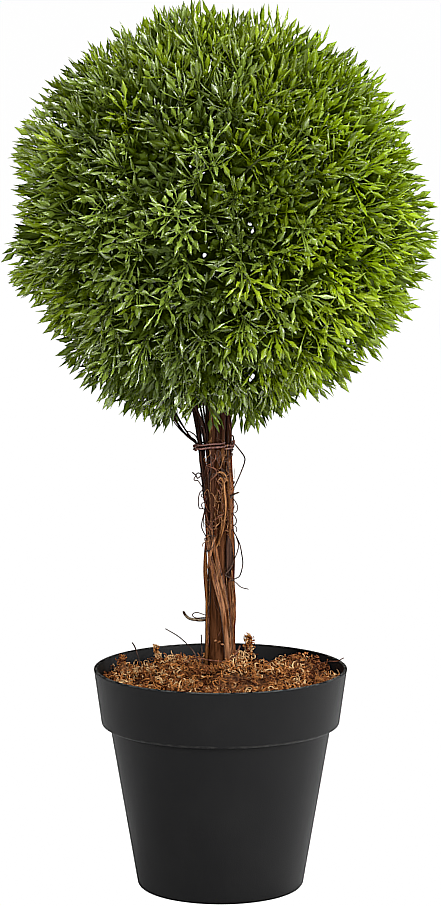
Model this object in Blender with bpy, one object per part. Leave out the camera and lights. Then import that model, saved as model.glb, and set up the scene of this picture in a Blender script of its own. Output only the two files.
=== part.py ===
"""A small artificial topiary: a ball of narrow leaves on a bundle of twisted stems, set in a black pot.

The frame is +Z up, with the origin at the centre of the pot's flat underside, and the front is -Y.
All lengths are in metres.
"""

import math
import random

import bmesh
import bpy
from mathutils import Matrix, Vector

GAP = 0.00035  # left between any two solids that touch on the real object

# Driving sizes
TOTAL_HEIGHT = 0.610
BALL_RADIUS = 0.148
CORE_RADIUS = 0.114
BALL_CENTRE = Vector((-0.0018, 0.0, TOTAL_HEIGHT - BALL_RADIUS))
SOCKET_RADIUS = 0.030  # of the flat under the core, where the trunk comes up to it
SOCKET_Z = BALL_CENTRE.z - math.sqrt(CORE_RADIUS**2 - SOCKET_RADIUS**2)

# The pot
POT_HEIGHT = 0.154
RIM_RADIUS = 0.0876
COLLAR_FOOT_RADIUS = 0.0825
COLLAR_FOOT_Z = 0.1145
BASE_RADIUS = 0.0572
BODY_SLOPE = 0.168  # how much the radius grows for each metre of height
POT_WALL = 0.0018
POT_FLOOR = 0.003
LIP_ROUND = 0.0008
FOOT_FILLET = 0.004
ROUND_SEGMENTS = 48

# The filling and the moss on it
FILL_TOP = 0.128
WELL_RADIUS = 0.0165
WELL_FLOOR = 0.085
MOSS_LEVEL = 0.1450  # at the pot's wall
MOSS_BANK = 0.0165  # how much higher it lies round the trunk
MOSS_BANK_WIDTH = 0.034
MOSS_HOLE_RADIUS = 0.0160
MOSS_RINGS = 8

# The bundle of stems
BUNDLE_X = -0.0014  # the middle of the main stem
STRAND_GAP = 0.00045  # more than GAP, because a turning strand's straight pieces cut inside its curve
STEM_FOOT_Z = WELL_FLOOR + GAP
STEM_TOP_Z = SOCKET_Z - GAP
SPLAY_FROM = 0.272  # where the left vine begins to lean out of the bundle
MAIN_FOOT_RADIUS = 0.0066
MAIN_TOP_RADIUS = 0.0046

# The foliage
SPRAYS = 107
LEAVES_IN_SPRAY = 5
TWIG_REACH = 0.131
TWIG_RADIUS = 0.0024
LEAF_HALF_WIDTH = 0.0062
LEAF_THICKNESS = 0.0024
SEED = 4


def smooth(share):
    """Rises from 0 to 1 with no corner at either end."""
    share = min(1.0, max(0.0, share))
    return share * share * (3 - 2 * share)


def between(low, high, share):
    return low + (high - low) * share


def material(name, colour, roughness, metallic=0.0):
    made = bpy.data.materials.new(name)
    made.use_nodes = True
    shader = made.node_tree.nodes["Principled BSDF"]
    shader.inputs["Base Color"].default_value = (*colour, 1.0)
    shader.inputs["Roughness"].default_value = roughness
    shader.inputs["Metallic"].default_value = metallic
    return made


def place(name, data, finish):
    made = bpy.data.objects.new(name, data)
    bpy.context.scene.collection.objects.link(made)
    if not data.materials:
        data.materials.append(finish)
    return made


def turned_mesh(name, profile, segments, shape=None):
    """The outline of (radius, height) points turned once round Z. shape may move each point afterwards."""
    work = bmesh.new()
    points = [work.verts.new((radius, 0.0, height)) for radius, height in profile]
    closed = profile[0][0] > 0
    edges = [work.edges.new(pair) for pair in zip(points, points[1:])]
    if closed:
        edges.append(work.edges.new((points[-1], points[0])))
    bmesh.ops.spin(
        work,
        geom=[*points, *edges],
        cent=(0, 0, 0),
        axis=(0, 0, 1),
        angle=math.tau,
        steps=segments,
        use_merge=True,
    )
    bmesh.ops.remove_doubles(work, verts=work.verts, dist=1e-6)
    if shape:
        for point in work.verts:
            point.co = shape(point.co)
    bmesh.ops.recalc_face_normals(work, faces=work.faces)
    data = bpy.data.meshes.new(name)
    work.to_mesh(data)
    work.free()
    data.shade_smooth()
    data.set_sharp_from_angle(angle=math.radians(35))
    return data


def limb(name, points, radii, finish, sides=8):
    """A tapering limb through the points, with flat ends."""
    curve = bpy.data.curves.new(name, "CURVE")
    curve.dimensions = "3D"
    curve.bevel_depth = 1.0
    curve.bevel_resolution = (sides - 4) // 2
    curve.use_fill_caps = True
    spline = curve.splines.new("POLY")
    spline.points.add(len(points) - 1)
    for knot, point, radius in zip(spline.points, points, radii):
        knot.co = (*point, 1.0)
        knot.radius = radius
    return place(name, curve, finish)


def smooth_route(knots, count):
    """count points along a Catmull-Rom curve through the knots."""
    ends = [2 * knots[0] - knots[1], *knots, 2 * knots[-1] - knots[-2]]
    route = []
    for step in range(count):
        along = step / (count - 1) * (len(knots) - 1)
        first = min(int(along), len(knots) - 2)
        t = along - first
        a, b, c, d = ends[first : first + 4]
        route.append(
            0.5
            * (
                2 * b
                + (c - a) * t
                + (2 * a - 5 * b + 4 * c - d) * t**2
                + (3 * b - a - 3 * c + d) * t**3
            )
        )
    return route


# The pot, its filling and the moss


def body_radius(height):
    """The outside of the pot below its collar."""
    return BASE_RADIUS + BODY_SLOPE * height


def foot_fillet():
    """The rounded corner under the pot's side."""
    centre = Vector((body_radius(FOOT_FILLET) - FOOT_FILLET, FOOT_FILLET))
    turns = [math.radians(a) for a in (-90, -60, -30, -8)]
    return [
        (centre.x + FOOT_FILLET * math.cos(a), centre.y + FOOT_FILLET * math.sin(a))
        for a in turns
    ]


def inner_radius(height):
    """The pot's inner wall, which steps out above the foot of the collar."""
    step_in = COLLAR_FOOT_Z + POT_WALL
    if height < step_in:
        return body_radius(height) - POT_WALL
    share = (height - step_in) / (POT_HEIGHT - 2 * LIP_ROUND - step_in)
    return between(COLLAR_FOOT_RADIUS, RIM_RADIUS - LIP_ROUND, share) - POT_WALL


def build_pot(finish):
    step_in = COLLAR_FOOT_Z + POT_WALL
    outside = [
        (0.0, 0.0),
        *foot_fillet(),
        (body_radius(COLLAR_FOOT_Z), COLLAR_FOOT_Z),
        (COLLAR_FOOT_RADIUS - LIP_ROUND, COLLAR_FOOT_Z),
        (COLLAR_FOOT_RADIUS, COLLAR_FOOT_Z + LIP_ROUND),
        (RIM_RADIUS - LIP_ROUND / 3, POT_HEIGHT - 2.5 * LIP_ROUND),
        (RIM_RADIUS, POT_HEIGHT - LIP_ROUND),
        (RIM_RADIUS - LIP_ROUND, POT_HEIGHT),
    ]
    inside = [
        (RIM_RADIUS - POT_WALL, POT_HEIGHT),
        (inner_radius(POT_HEIGHT - 2 * LIP_ROUND), POT_HEIGHT - 2 * LIP_ROUND),
        (inner_radius(step_in), step_in),
        (body_radius(step_in) - POT_WALL, step_in),
        (inner_radius(2 * FOOT_FILLET), 2 * FOOT_FILLET),
        (inner_radius(POT_FLOOR) - FOOT_FILLET, POT_FLOOR),
        (0.0, POT_FLOOR),
    ]
    place("pot", turned_mesh("pot", outside + inside, ROUND_SEGMENTS), finish)


def build_fill(finish):
    """The set filler that holds the stems, with the well that they stand in."""
    low = POT_FLOOR + GAP
    step_in = COLLAR_FOOT_Z + POT_WALL
    profile = [
        (0.0, low),
        (inner_radius(low) - FOOT_FILLET - 2 * GAP, low),
        (inner_radius(2 * FOOT_FILLET) - 2 * GAP, 2 * FOOT_FILLET),
        (body_radius(step_in) - POT_WALL - GAP, step_in + GAP),
        (inner_radius(step_in) - GAP, step_in + GAP),
        (inner_radius(FILL_TOP) - GAP, FILL_TOP),
        (WELL_RADIUS, FILL_TOP),
        (WELL_RADIUS, WELL_FLOOR),
        (0.0, WELL_FLOOR),
    ]
    place("pot_filler", turned_mesh("pot_filler", profile, ROUND_SEGMENTS), finish)


def moss_lumps():
    """Each lump of the moss as (x, y, height, spread). The first is the tall tuft behind the trunk."""
    draw = random.Random(SEED)
    lumps = [
        (0.0205, 0.018, 0.0155, 0.0050),
        (-0.068, 0.012, 0.0150, 0.0055),
        (-0.0455, 0.025, 0.0120, 0.0060),
        (0.055, 0.040, 0.0095, 0.0100),
    ]
    for _ in range(34):
        turn = draw.uniform(0, math.tau)
        away = draw.uniform(MOSS_HOLE_RADIUS, inner_radius(MOSS_LEVEL) - 0.008)
        lumps.append(
            (
                away * math.cos(turn),
                away * math.sin(turn),
                draw.uniform(-0.0030, 0.0045),
                draw.uniform(0.007, 0.014),
            )
        )
    return lumps


def moss_height(x, y, lumps):
    """The top of the moss: level, banked up round the trunk, with lumps that fade at the pot's wall."""
    away = math.hypot(x, y)
    bank = MOSS_BANK * math.exp(-(((away - MOSS_HOLE_RADIUS) / MOSS_BANK_WIDTH) ** 2))
    raised = sum(
        height * math.exp(-((x - lx) ** 2 + (y - ly) ** 2) / spread**2)
        for lx, ly, height, spread in lumps
    )
    fade = 1 - smooth((away - 0.070) / 0.012)
    return MOSS_LEVEL + bank + max(-0.004, raised) * between(0.35, 1.0, fade)


def build_moss(finish):
    lumps = moss_lumps()
    low = FILL_TOP + GAP
    edge = inner_radius(MOSS_LEVEL) - GAP
    top = [
        (between(MOSS_HOLE_RADIUS, edge, (ring / (MOSS_RINGS - 1)) ** 0.85), MOSS_LEVEL)
        for ring in range(MOSS_RINGS)
    ]
    profile = [(MOSS_HOLE_RADIUS, low), *top, (inner_radius(low) - GAP, low)]

    def shaped(point):
        if point.z < MOSS_LEVEL - 1e-6:
            return point
        height = moss_height(point.x, point.y, lumps)
        reach = math.hypot(point.x, point.y)
        limit = inner_radius(min(height, MOSS_LEVEL)) - GAP
        pull = min(1.0, limit / reach)
        return Vector((point.x * pull, point.y * pull, height))

    data = turned_mesh("moss", profile, ROUND_SEGMENTS, shaped)
    place("moss", data, finish)


# The bundle of stems


def main_radius(height):
    """The main stem tapers from its foot to the ball, with a slight flare where it leaves the moss."""
    share = (height - STEM_FOOT_Z) / (STEM_TOP_Z - STEM_FOOT_Z)
    flare = 0.0007 * (1 - smooth((height - 0.145) / 0.030))
    return between(MAIN_FOOT_RADIUS, MAIN_TOP_RADIUS, share) + flare


def main_centre(height):
    """The main stem leans and bows by a millimetre or so."""
    share = (height - STEM_FOOT_Z) / (STEM_TOP_Z - STEM_FOOT_Z)
    return Vector((BUNDLE_X - 0.0004 * math.sin(math.pi * share), 0.0, height))


class Strand:
    """A stem that lies against the main stem and turns round it as it climbs.

    turns are its bearing at the foot and at the top, in degrees, where -90 is the front, 0 the right and 90
    the back. It turns between the two heights in span, where it also bows out by bow. radii are its own at
    its foot and its top. From SPLAY_FROM up it leans away to the left, by splay at the top.
    """

    def __init__(self, name, turns, span, radii, foot=None, top=None, splay=0.0, bow=0.0):
        self.name = name
        self.splay = splay
        self.bow = bow
        self.turns = turns
        self.span = span
        self.radii = radii
        self.foot = STEM_FOOT_Z if foot is None else foot
        self.top = STEM_TOP_Z if top is None else top

    def radius(self, height):
        return between(*self.radii, (height - self.foot) / (self.top - self.foot))

    def centre(self, height):
        low, high = self.span
        share = min(1.0, max(0.0, (height - low) / (high - low)))
        turn = math.radians(between(*self.turns, smooth(share)))
        away = main_radius(height) + STRAND_GAP + self.radius(height) + self.bow * math.sin(math.pi * share)
        bearing = Vector((math.cos(turn), math.sin(turn), 0))
        lean = max(0.0, (height - SPLAY_FROM) / (STEM_TOP_Z - SPLAY_FROM)) ** 1.3
        return main_centre(height) + away * bearing - Vector((self.splay * lean, 0, 0))

    def route(self, rings):
        heights = [between(self.foot, self.top, k / (rings - 1)) for k in range(rings)]
        return [self.centre(h) for h in heights], [self.radius(h) for h in heights]


STRANDS = (
    Strand("stem_right", (30, -8), (0.165, 0.290), (0.0040, 0.0026)),
    Strand("stem_back_right", (78, 62), (0.150, 0.300), (0.0032, 0.0026)),
    Strand("stem_back_left", (126, 108), (0.150, 0.280), (0.0034, 0.0027)),
    Strand("stem_rear_thin", (159, 141), (0.150, 0.250), (0.0013, 0.0010)),
    Strand("stem_left", (187, 159), (0.195, 0.266), (0.0021, 0.0007), top=0.268, bow=0.0022),
    Strand("vine_left", (-43, -176), (0.168, 0.272), (0.0020, 0.0016), top=STEM_TOP_Z - GAP, splay=0.014),
    Strand("vine_right", (-9, -124), (0.165, 0.262), (0.0018, 0.0015)),
    Strand("vine_pale", (-84, -58), (0.240, 0.262), (0.0007, 0.0017), foot=0.240),
)
STRAND_RINGS = 21
TRUNK_RINGS = 16


def build_stems(finish, pale_finish):
    heights = [between(STEM_FOOT_Z, STEM_TOP_Z, k / (TRUNK_RINGS - 1)) for k in range(TRUNK_RINGS)]
    limb(
        "trunk",
        [main_centre(h) for h in heights],
        [main_radius(h) for h in heights],
        finish,
        sides=10,
    )
    for strand in STRANDS:
        points, radii = strand.route(STRAND_RINGS)
        look = pale_finish if strand.name.startswith("vine") else finish
        limb(strand.name, points, radii, look, sides=8)


# Each bough is the points of its route in millimetres, from the bundle out to where it turns up into the
# ball, then the bearing of its tip and the tip's angle from straight down, in degrees, and its radius.
BOUGHS = {
    "bough_low": (((-13.6, 3.3, 296.0), (-15.9, 3.6, 308.6), (-28.2, 4.0, 321.5)), 176, 29, 0.0010),
    "bough_low_thin": (((-13.2, -3.7, 297.0), (-15.4, -4.2, 308.8), (-25.6, -6.0, 323.0)), 191, 26, 0.0007),
    "bough_front": (((-9.2, -4.7, 291.0), (-9.9, -6.0, 305.0), (-14.0, -9.0, 330.0)), 213, 20, 0.0009),
    "bough_rear": (((-11.6, 6.4, 287.0), (-12.8, 7.4, 304.0), (-17.0, 9.6, 328.0)), 150, 20, 0.0017),
}
BOUGH_RINGS = 9


def bough_path(name, core):
    """The route of a bough. Its flat end stands clear of the facet of the core that it meets."""
    knots, bearing, fall, radius = BOUGHS[name]
    knots = [Vector(knot) / 1000 for knot in knots]
    low, side = math.radians(fall), math.radians(bearing)
    down = Vector((math.sin(low) * math.cos(side), math.sin(low) * math.sin(side), -math.cos(low)))
    _, near, normal, _ = core.closest_point_on_mesh(BALL_CENTRE + down * CORE_RADIUS)
    slant = (near - knots[-1]).normalized().cross(normal).length
    tip = near + normal * (GAP + radius * slant)
    return smooth_route([*knots, tip], BOUGH_RINGS), radius


def build_boughs(core, finish):
    for name in BOUGHS:
        route, radius = bough_path(name, core)
        radii = [radius * between(1.0, 0.75, k / (BOUGH_RINGS - 1)) for k in range(BOUGH_RINGS)]
        limb(name, route, radii, finish, sides=6)


# The wire tie and the tendrils

TIE_Z = 0.3092
TIE_RISE = 0.0014  # how much higher it lies on the right than at the middle
TIE_WIRE_RADIUS = 0.0007
TIE_TURNS = 2
TIE_STEPS = 20  # in one turn
TIE_PITCH = 0.0021


def limbs_at(height, core):
    """The middle and radius of every limb that passes a height near the tie."""
    limbs = [(main_centre(height), main_radius(height))]
    limbs += [(s.centre(height), s.radius(height)) for s in STRANDS if s.top > height]
    for name in BOUGHS:
        route, radius = bough_path(name, core)
        low, high = next(pair for pair in zip(route, route[1:]) if pair[1].z > height)
        slope = (high - low).normalized().z
        limbs.append((low.lerp(high, (height - low.z) / (high.z - low.z)), radius / slope))
    return limbs


def build_tie(core, finish):
    """Turns of wire pulled tight round the bundle.

    For each bearing the wire touches the limb that reaches farthest that way. Between limbs it is straight.
    """
    steps = TIE_STEPS * TIE_TURNS
    route = []
    for step in range(steps + 1):
        turn = math.tau * step / TIE_STEPS - math.radians(60)
        bearing = Vector((math.cos(turn), math.sin(turn), 0))
        height = TIE_Z + TIE_PITCH * (step / TIE_STEPS - 0.5 * TIE_TURNS) + TIE_RISE * bearing.x
        centre, radius = max(limbs_at(height, core), key=lambda limb: limb[0].dot(bearing) + limb[1])
        route.append(centre + bearing * (radius + 2 * GAP + TIE_WIRE_RADIUS))
    limb("wire_tie", route, [TIE_WIRE_RADIUS] * len(route), finish, sides=6)


# Each tendril is the points of its route, in millimetres from the trunk's middle line and above the floor.
TENDRILS = {
    "tendril_top_right": (
        (12.4, -3.8, 305.8),
        (14.9, -3.7, 302.2),
        (17.0, -3.6, 298.0),
        (16.4, -3.4, 292.5),
        (13.2, -3.0, 284.0),
        (10.3, -2.6, 277.0),
    ),
    "tendril_left": (
        (-11.0, -1.8, 268.5),
        (-14.2, -4.8, 262.0),
        (-14.6, -5.0, 254.5),
        (-12.9, -4.9, 250.4),
        (-11.7, -4.2, 253.0),
    ),
    "tendril_curl_left": (
        (-11.7, -1.0, 274.5),
        (-14.8, -1.9, 279.0),
        (-17.0, -2.4, 283.5),
        (-15.6, -2.4, 286.6),
        (-13.9, -2.2, 284.4),
        (-16.2, -1.0, 281.3),
        (-19.2, -0.6, 287.8),
    ),
    "tendril_right": (
        (10.9, -1.6, 247.0),
        (13.4, -2.6, 238.0),
        (15.4, -3.4, 228.0),
        (15.0, -4.0, 219.0),
        (12.9, -4.2, 213.8),
        (12.2, -5.2, 210.2),
        (15.4, -6.2, 207.0),
        (19.8, -6.6, 205.5),
    ),
    "stub_left": (
        (-11.2, -1.0, 186.4),
        (-17.4, -1.6, 186.6),
        (-21.4, -1.8, 188.6),
        (-24.6, -1.9, 193.4),
    ),
}
TENDRIL_RADIUS = 0.0005
STUB_RADIUS = 0.0012


def build_tendrils(finish):
    for name, knots in TENDRILS.items():
        count = 3 * len(knots) - 2
        route = smooth_route([Vector(k) / 1000 for k in knots], count)
        thick = STUB_RADIUS if name.startswith("stub") else TENDRIL_RADIUS
        radii = [thick * between(1.0, 0.8, k / (count - 1)) for k in range(count)]
        limb(name, route, radii, finish, sides=6)


# The ball of foliage


def limb_samples(core):
    """Points and radii along every limb near the ball, for the leaves to keep clear of."""
    samples = []
    for step in range(24):
        height = between(0.290, STEM_TOP_Z, step / 23)
        samples.append((main_centre(height), main_radius(height)))
        samples += [(s.centre(height), s.radius(height)) for s in STRANDS if s.top > height]
    for name in BOUGHS:
        route, radius = bough_path(name, core)
        samples += [(point, radius) for point in smooth_route(route, 24)]
    return samples


def clear_of(samples, start, end, half_width):
    """True if a leaf or twig from start to end keeps clear of every limb."""
    for step in range(9):
        point = start.lerp(end, step / 8)
        for place_of, radius in samples:
            if (point - place_of).length < radius + half_width + 0.0012:
                return False
    return True


def spiked_mesh(name, widest, corners):
    """A spike of unit length along +Z, pointed at both ends and widest at the share widest of it."""
    work = bmesh.new()
    root = work.verts.new((0, 0, 0))
    tip = work.verts.new((0, 0, 1))
    ring = [work.verts.new((x, y, widest)) for x, y in corners]
    for a, b in zip(ring, ring[1:] + ring[:1]):
        work.faces.new((root, b, a))
        work.faces.new((a, b, tip))
    bmesh.ops.recalc_face_normals(work, faces=work.faces)
    data = bpy.data.meshes.new(name)
    work.to_mesh(data)
    work.free()
    return data


def aimed(start, end, across, half_width, thickness):
    """The matrix that lays a unit spike from start to end, its flat side facing across."""
    along = end - start
    z = along.normalized()
    x = across.cross(z).normalized()
    y = z.cross(x)
    turn = Matrix((x, y, z)).transposed().to_4x4()
    size = Matrix.Diagonal((half_width, thickness, along.length, 1.0))
    return Matrix.Translation(start) @ turn @ size


def reach_to(start, direction, radius):
    """How far start has to go along direction to be radius from the ball's centre."""
    offset = start - BALL_CENTRE
    b = offset.dot(direction)
    c = offset.length_squared - radius**2
    return -b + math.sqrt(max(0.0, b * b - c))


def even_directions(count, draw):
    """Directions spread evenly over a sphere on a spiral, each moved a little."""
    golden = math.pi * (3 - math.sqrt(5))
    for index in range(count):
        z = 1 - 2 * (index + 0.5) / count
        ring = math.sqrt(1 - z * z)
        turn = golden * index
        way = Vector((ring * math.cos(turn), ring * math.sin(turn), z))
        nudge = Vector([draw.uniform(-1, 1) for _ in range(3)])
        yield (way + 0.05 * nudge).normalized()


def grow_spray(way, draw, samples, twig_shape, leaf_shape, into):
    """One spray: a twig that stands out of the core, with leaves fused on round it."""
    side = way.orthogonal().normalized()
    side.rotate(Matrix.Rotation(draw.uniform(0, math.tau), 3, way))
    root = BALL_CENTRE + way * (CORE_RADIUS - 0.008)
    tip = BALL_CENTRE + way * TWIG_REACH
    if not clear_of(samples, root, tip, TWIG_RADIUS):
        return
    into("twig", twig_shape, aimed(root, tip, side, TWIG_RADIUS, TWIG_RADIUS))
    turn_step = math.tau / (LEAVES_IN_SPRAY - 1)
    for index in range(LEAVES_IN_SPRAY):
        crown = index == LEAVES_IN_SPRAY - 1
        start = root.lerp(tip, 0.62 if crown else 0.40 + 0.07 * index)
        out = side.copy()
        out.rotate(Matrix.Rotation(index * turn_step, 3, way))
        spread = draw.uniform(0.02, 0.12) if crown else draw.uniform(0.62, 0.98)
        direction = (way + spread * out).normalized()
        length = reach_to(start, direction, BALL_RADIUS * draw.uniform(0.965, 1.0))
        end = start + direction * min(length, 0.058)
        half_width = LEAF_HALF_WIDTH * draw.uniform(0.85, 1.1)
        if clear_of(samples, start, end, half_width):
            flat = way if not crown else side
            matrix = aimed(start, end, flat, half_width, LEAF_THICKNESS)
            into("leaf", leaf_shape, matrix)


def build_core(finish):
    """The ball's core, with a flat under it where the stems come up."""
    work = bmesh.new()
    bmesh.ops.create_icosphere(work, subdivisions=3, radius=CORE_RADIUS)
    bmesh.ops.translate(work, verts=work.verts, vec=BALL_CENTRE)
    cut = bmesh.ops.bisect_plane(
        work,
        geom=[*work.verts, *work.edges, *work.faces],
        plane_co=(0, 0, SOCKET_Z),
        plane_no=(0, 0, -1),
        clear_outer=True,
    )
    rim = [e for e in cut["geom_cut"] if isinstance(e, bmesh.types.BMEdge)]
    bmesh.ops.contextual_create(work, geom=rim)
    bmesh.ops.recalc_face_normals(work, faces=work.faces)
    data = bpy.data.meshes.new("foliage_core")
    work.to_mesh(data)
    work.free()
    core = place("foliage_ball", data, finish)
    bpy.context.view_layer.update()
    return core


def build_foliage(core):
    """Sprays of leaves on the core, joined to it by one Boolean union."""
    sprays = bpy.data.collections.new("sprays")
    bpy.context.scene.collection.children.link(sprays)
    third = math.tau / 3
    three_sided = [(math.cos(third * k), math.sin(third * k)) for k in range(3)]
    twig_shape = spiked_mesh("twig", 0.12, three_sided)
    leaf_shape = spiked_mesh("leaf", 0.55, [(1, 0), (0, 1), (-1, 0)])

    def into(kind, shape, matrix):
        made = bpy.data.objects.new(f"{kind}_{len(sprays.objects)}", shape)
        made.matrix_world = matrix
        sprays.objects.link(made)

    draw = random.Random(SEED)
    samples = limb_samples(core)
    for way in even_directions(SPRAYS, draw):
        grow_spray(way, draw, samples, twig_shape, leaf_shape, into)

    union = core.modifiers.new("join", "BOOLEAN")
    union.operation = "UNION"
    union.operand_type = "COLLECTION"
    union.collection = sprays
    union.solver = "MANIFOLD"
    bpy.context.view_layer.update()
    evaluated = core.evaluated_get(bpy.context.evaluated_depsgraph_get())
    core.data = bpy.data.meshes.new_from_object(evaluated)
    core.modifiers.clear()
    for spray in list(sprays.objects):
        bpy.data.objects.remove(spray)
    bpy.data.collections.remove(sprays)


def main():
    for old in list(bpy.data.objects):
        bpy.data.objects.remove(old)
    plastic = material("pot_plastic", (0.024, 0.025, 0.026), 0.45)
    filler = material("filler", (0.30, 0.27, 0.22), 0.9)
    moss = material("moss", (0.36, 0.17, 0.06), 0.95)
    bark = material("bark", (0.10, 0.042, 0.018), 0.75)
    pale_bark = material("pale_bark", (0.26, 0.12, 0.045), 0.7)
    wire = material("wire", (0.13, 0.05, 0.03), 0.55)
    tendril = material("tendril", (0.06, 0.028, 0.018), 0.8)
    leaf = material("leaf", (0.15, 0.27, 0.035), 0.45)
    build_pot(plastic)
    build_fill(filler)
    build_moss(moss)
    build_stems(bark, pale_bark)
    core = build_core(leaf)
    build_boughs(core, bark)
    build_tie(core, wire)
    build_tendrils(tendril)
    build_foliage(core)


main()
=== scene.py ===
"""The looks of a small artificial ball topiary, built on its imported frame.

A ball of moulded leaf sprays stands on a trunk of dried vine stems, tied with wire, in a black nursery pot filled
with curled moss. The frame is +Z up with the origin under the middle of the pot, the front is -Y, and all lengths
are in metres. Every surface is worked out with numpy as whole arrays.
"""

import logging
import math
import random
from dataclasses import dataclass, field
from enum import Enum

import bpy
import numpy as np
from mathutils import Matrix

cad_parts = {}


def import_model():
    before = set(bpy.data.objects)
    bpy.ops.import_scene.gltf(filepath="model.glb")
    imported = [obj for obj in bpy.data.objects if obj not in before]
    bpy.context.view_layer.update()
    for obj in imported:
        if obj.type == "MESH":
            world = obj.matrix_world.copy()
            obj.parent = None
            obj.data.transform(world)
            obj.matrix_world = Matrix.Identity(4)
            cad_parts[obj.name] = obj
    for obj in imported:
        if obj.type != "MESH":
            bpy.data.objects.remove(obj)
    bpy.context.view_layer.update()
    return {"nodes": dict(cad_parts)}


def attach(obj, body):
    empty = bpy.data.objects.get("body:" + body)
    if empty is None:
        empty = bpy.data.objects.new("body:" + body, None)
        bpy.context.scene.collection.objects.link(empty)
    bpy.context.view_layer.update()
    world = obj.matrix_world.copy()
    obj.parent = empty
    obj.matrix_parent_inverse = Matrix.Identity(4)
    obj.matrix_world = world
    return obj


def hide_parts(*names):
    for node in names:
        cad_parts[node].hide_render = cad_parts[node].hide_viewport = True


Array = np.ndarray
Colour = tuple[float, float, float]
log = logging.getLogger("topiary")

# Sizes that the pieces share, as the solids have them
TOTAL_HEIGHT = 0.610
BALL_RADIUS = 0.1482
BALL_CENTRE = np.array([-0.0018, 0.0, 0.4628])
POT_HEIGHT = 0.154
STEM_FOOT_Z = 0.08535
STEM_TOP_Z = 0.35167
EYE = np.array([0.0, -2.4, 0.643])
SEED = 4


# Vectors and curves


def unit(vectors: Array) -> Array:
    """The vectors along the last axis, each divided by its length."""
    return vectors / np.maximum(np.linalg.norm(vectors, axis=-1, keepdims=True), 1e-12)


def dot(a: Array, b: Array) -> Array:
    """The products of the vectors along the last axis, kept as an axis of length 1."""
    return (a * b).sum(-1, keepdims=True)


def smooth(share: Array) -> Array:
    """The step 3t^2 - 2t^3, with t the share held between 0 and 1."""
    share = np.clip(share, 0.0, 1.0)
    return share * share * (3 - 2 * share)


def through(knots: Array, count: int) -> Array:
    """A smooth path through given points.

    The formula is the Catmull-Rom cubic: between two knots the path leaves and arrives along the line from the knot
    before to the knot after.

    Args:
        knots: the points, one a row.
        count: how many points the path has.

    Returns:
        The path's points, one a row.
    """
    knots = np.asarray(knots, float)
    ends = np.vstack([2 * knots[:1] - knots[1:2], knots, 2 * knots[-1:] - knots[-2:-1]])
    along = np.linspace(0, len(knots) - 1, count)
    first = np.minimum(along.astype(int), len(knots) - 2)
    t = (along - first)[:, None]
    a, b, c, d = (ends[first + step] for step in range(4))
    return 0.5 * (2 * b + (c - a) * t + (2 * a - 5 * b + 4 * c - d) * t**2 + (3 * b - a - 3 * c + d) * t**3)


def even_directions(count: int, jitter: float, rng: np.random.Generator) -> Array:
    """Directions spread evenly over a sphere.

    Direction i has the height 1 - 2(i + 0.5) / count and turns by the golden angle from the one before, and each is
    then moved by a small random vector.

    Args:
        count: how many directions.
        jitter: the largest random move along each axis.
        rng: the source of the moves.

    Returns:
        Unit vectors, one a row.
    """
    index = np.arange(count)
    z = 1 - 2 * (index + 0.5) / count
    ring = np.sqrt(1 - z * z)
    turn = math.pi * (3 - math.sqrt(5)) * index
    way = np.stack([ring * np.cos(turn), ring * np.sin(turn), z], -1)
    return unit(way + jitter * rng.uniform(-1, 1, (count, 3)))


def carried_frames(paths: Array) -> tuple[Array, Array]:
    """The directions across many paths at once, carried along each without twist.

    Each ring's side vector is the last ring's, less its part along the path there.

    Args:
        paths: points as [path, ring, xyz].

    Returns:
        The side and up vectors, both shaped as the paths.
    """
    ahead = unit(np.gradient(paths, axis=1))
    side = np.empty_like(ahead)
    guess = np.eye(3)[np.argmin(np.abs(ahead[:, 0]), axis=1)]
    for ring in range(paths.shape[1]):
        guess = unit(guess - dot(guess, ahead[:, ring]) * ahead[:, ring])
        side[:, ring] = guess
    return side, np.cross(ahead, side)


# Surfaces


@dataclass
class Surface:
    """A mesh as arrays: its points, and its faces of four and of three corners as rows of point numbers."""

    points: Array
    quads: Array
    triangles: Array = field(default_factory=lambda: np.empty((0, 3), int))

    @staticmethod
    def joined(parts: list["Surface"]) -> "Surface":
        """The parts as one surface, each part's point numbers moved up past the points before it."""
        starts = np.cumsum([0] + [len(part.points) for part in parts[:-1]])
        return Surface(
            np.concatenate([part.points for part in parts]),
            np.concatenate([part.quads + start for part, start in zip(parts, starts)]),
            np.concatenate([part.triangles + start for part, start in zip(parts, starts)]),
        )

    def triangle_count(self) -> int:
        """How many triangles the surface has when its faces are cut up."""
        return 2 * len(self.quads) + len(self.triangles)

    def to_object(self, name: str, finish: "Finish", shaded_smooth: bool = True) -> bpy.types.Object:
        """A new object in the scene that holds this surface.

        Args:
            name: the piece's name.
            finish: what it is made of.
            shaded_smooth: whether its faces blend into each other.

        Returns:
            The object, at the origin, unturned and unscaled.
        """
        data = bpy.data.meshes.new(name)
        corners = np.concatenate([self.quads.ravel(), self.triangles.ravel()]).astype(np.int32)
        four = np.arange(len(self.quads)) * 4
        three = 4 * len(self.quads) + np.arange(len(self.triangles)) * 3
        starts = np.concatenate([four, three]).astype(np.int32)
        data.vertices.add(len(self.points))
        data.vertices.foreach_set("co", self.points.astype(np.float32).ravel())
        data.loops.add(len(corners))
        data.loops.foreach_set("vertex_index", corners)
        data.polygons.add(len(starts))
        data.polygons.foreach_set("loop_start", starts)
        data.polygons.foreach_set("use_smooth", np.full(len(starts), shaded_smooth))
        data.update(calc_edges=True)
        data.validate()
        data.materials.append(finish.material())
        made = bpy.data.objects.new(name, data)
        bpy.context.scene.collection.objects.link(made)
        return made


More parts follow.
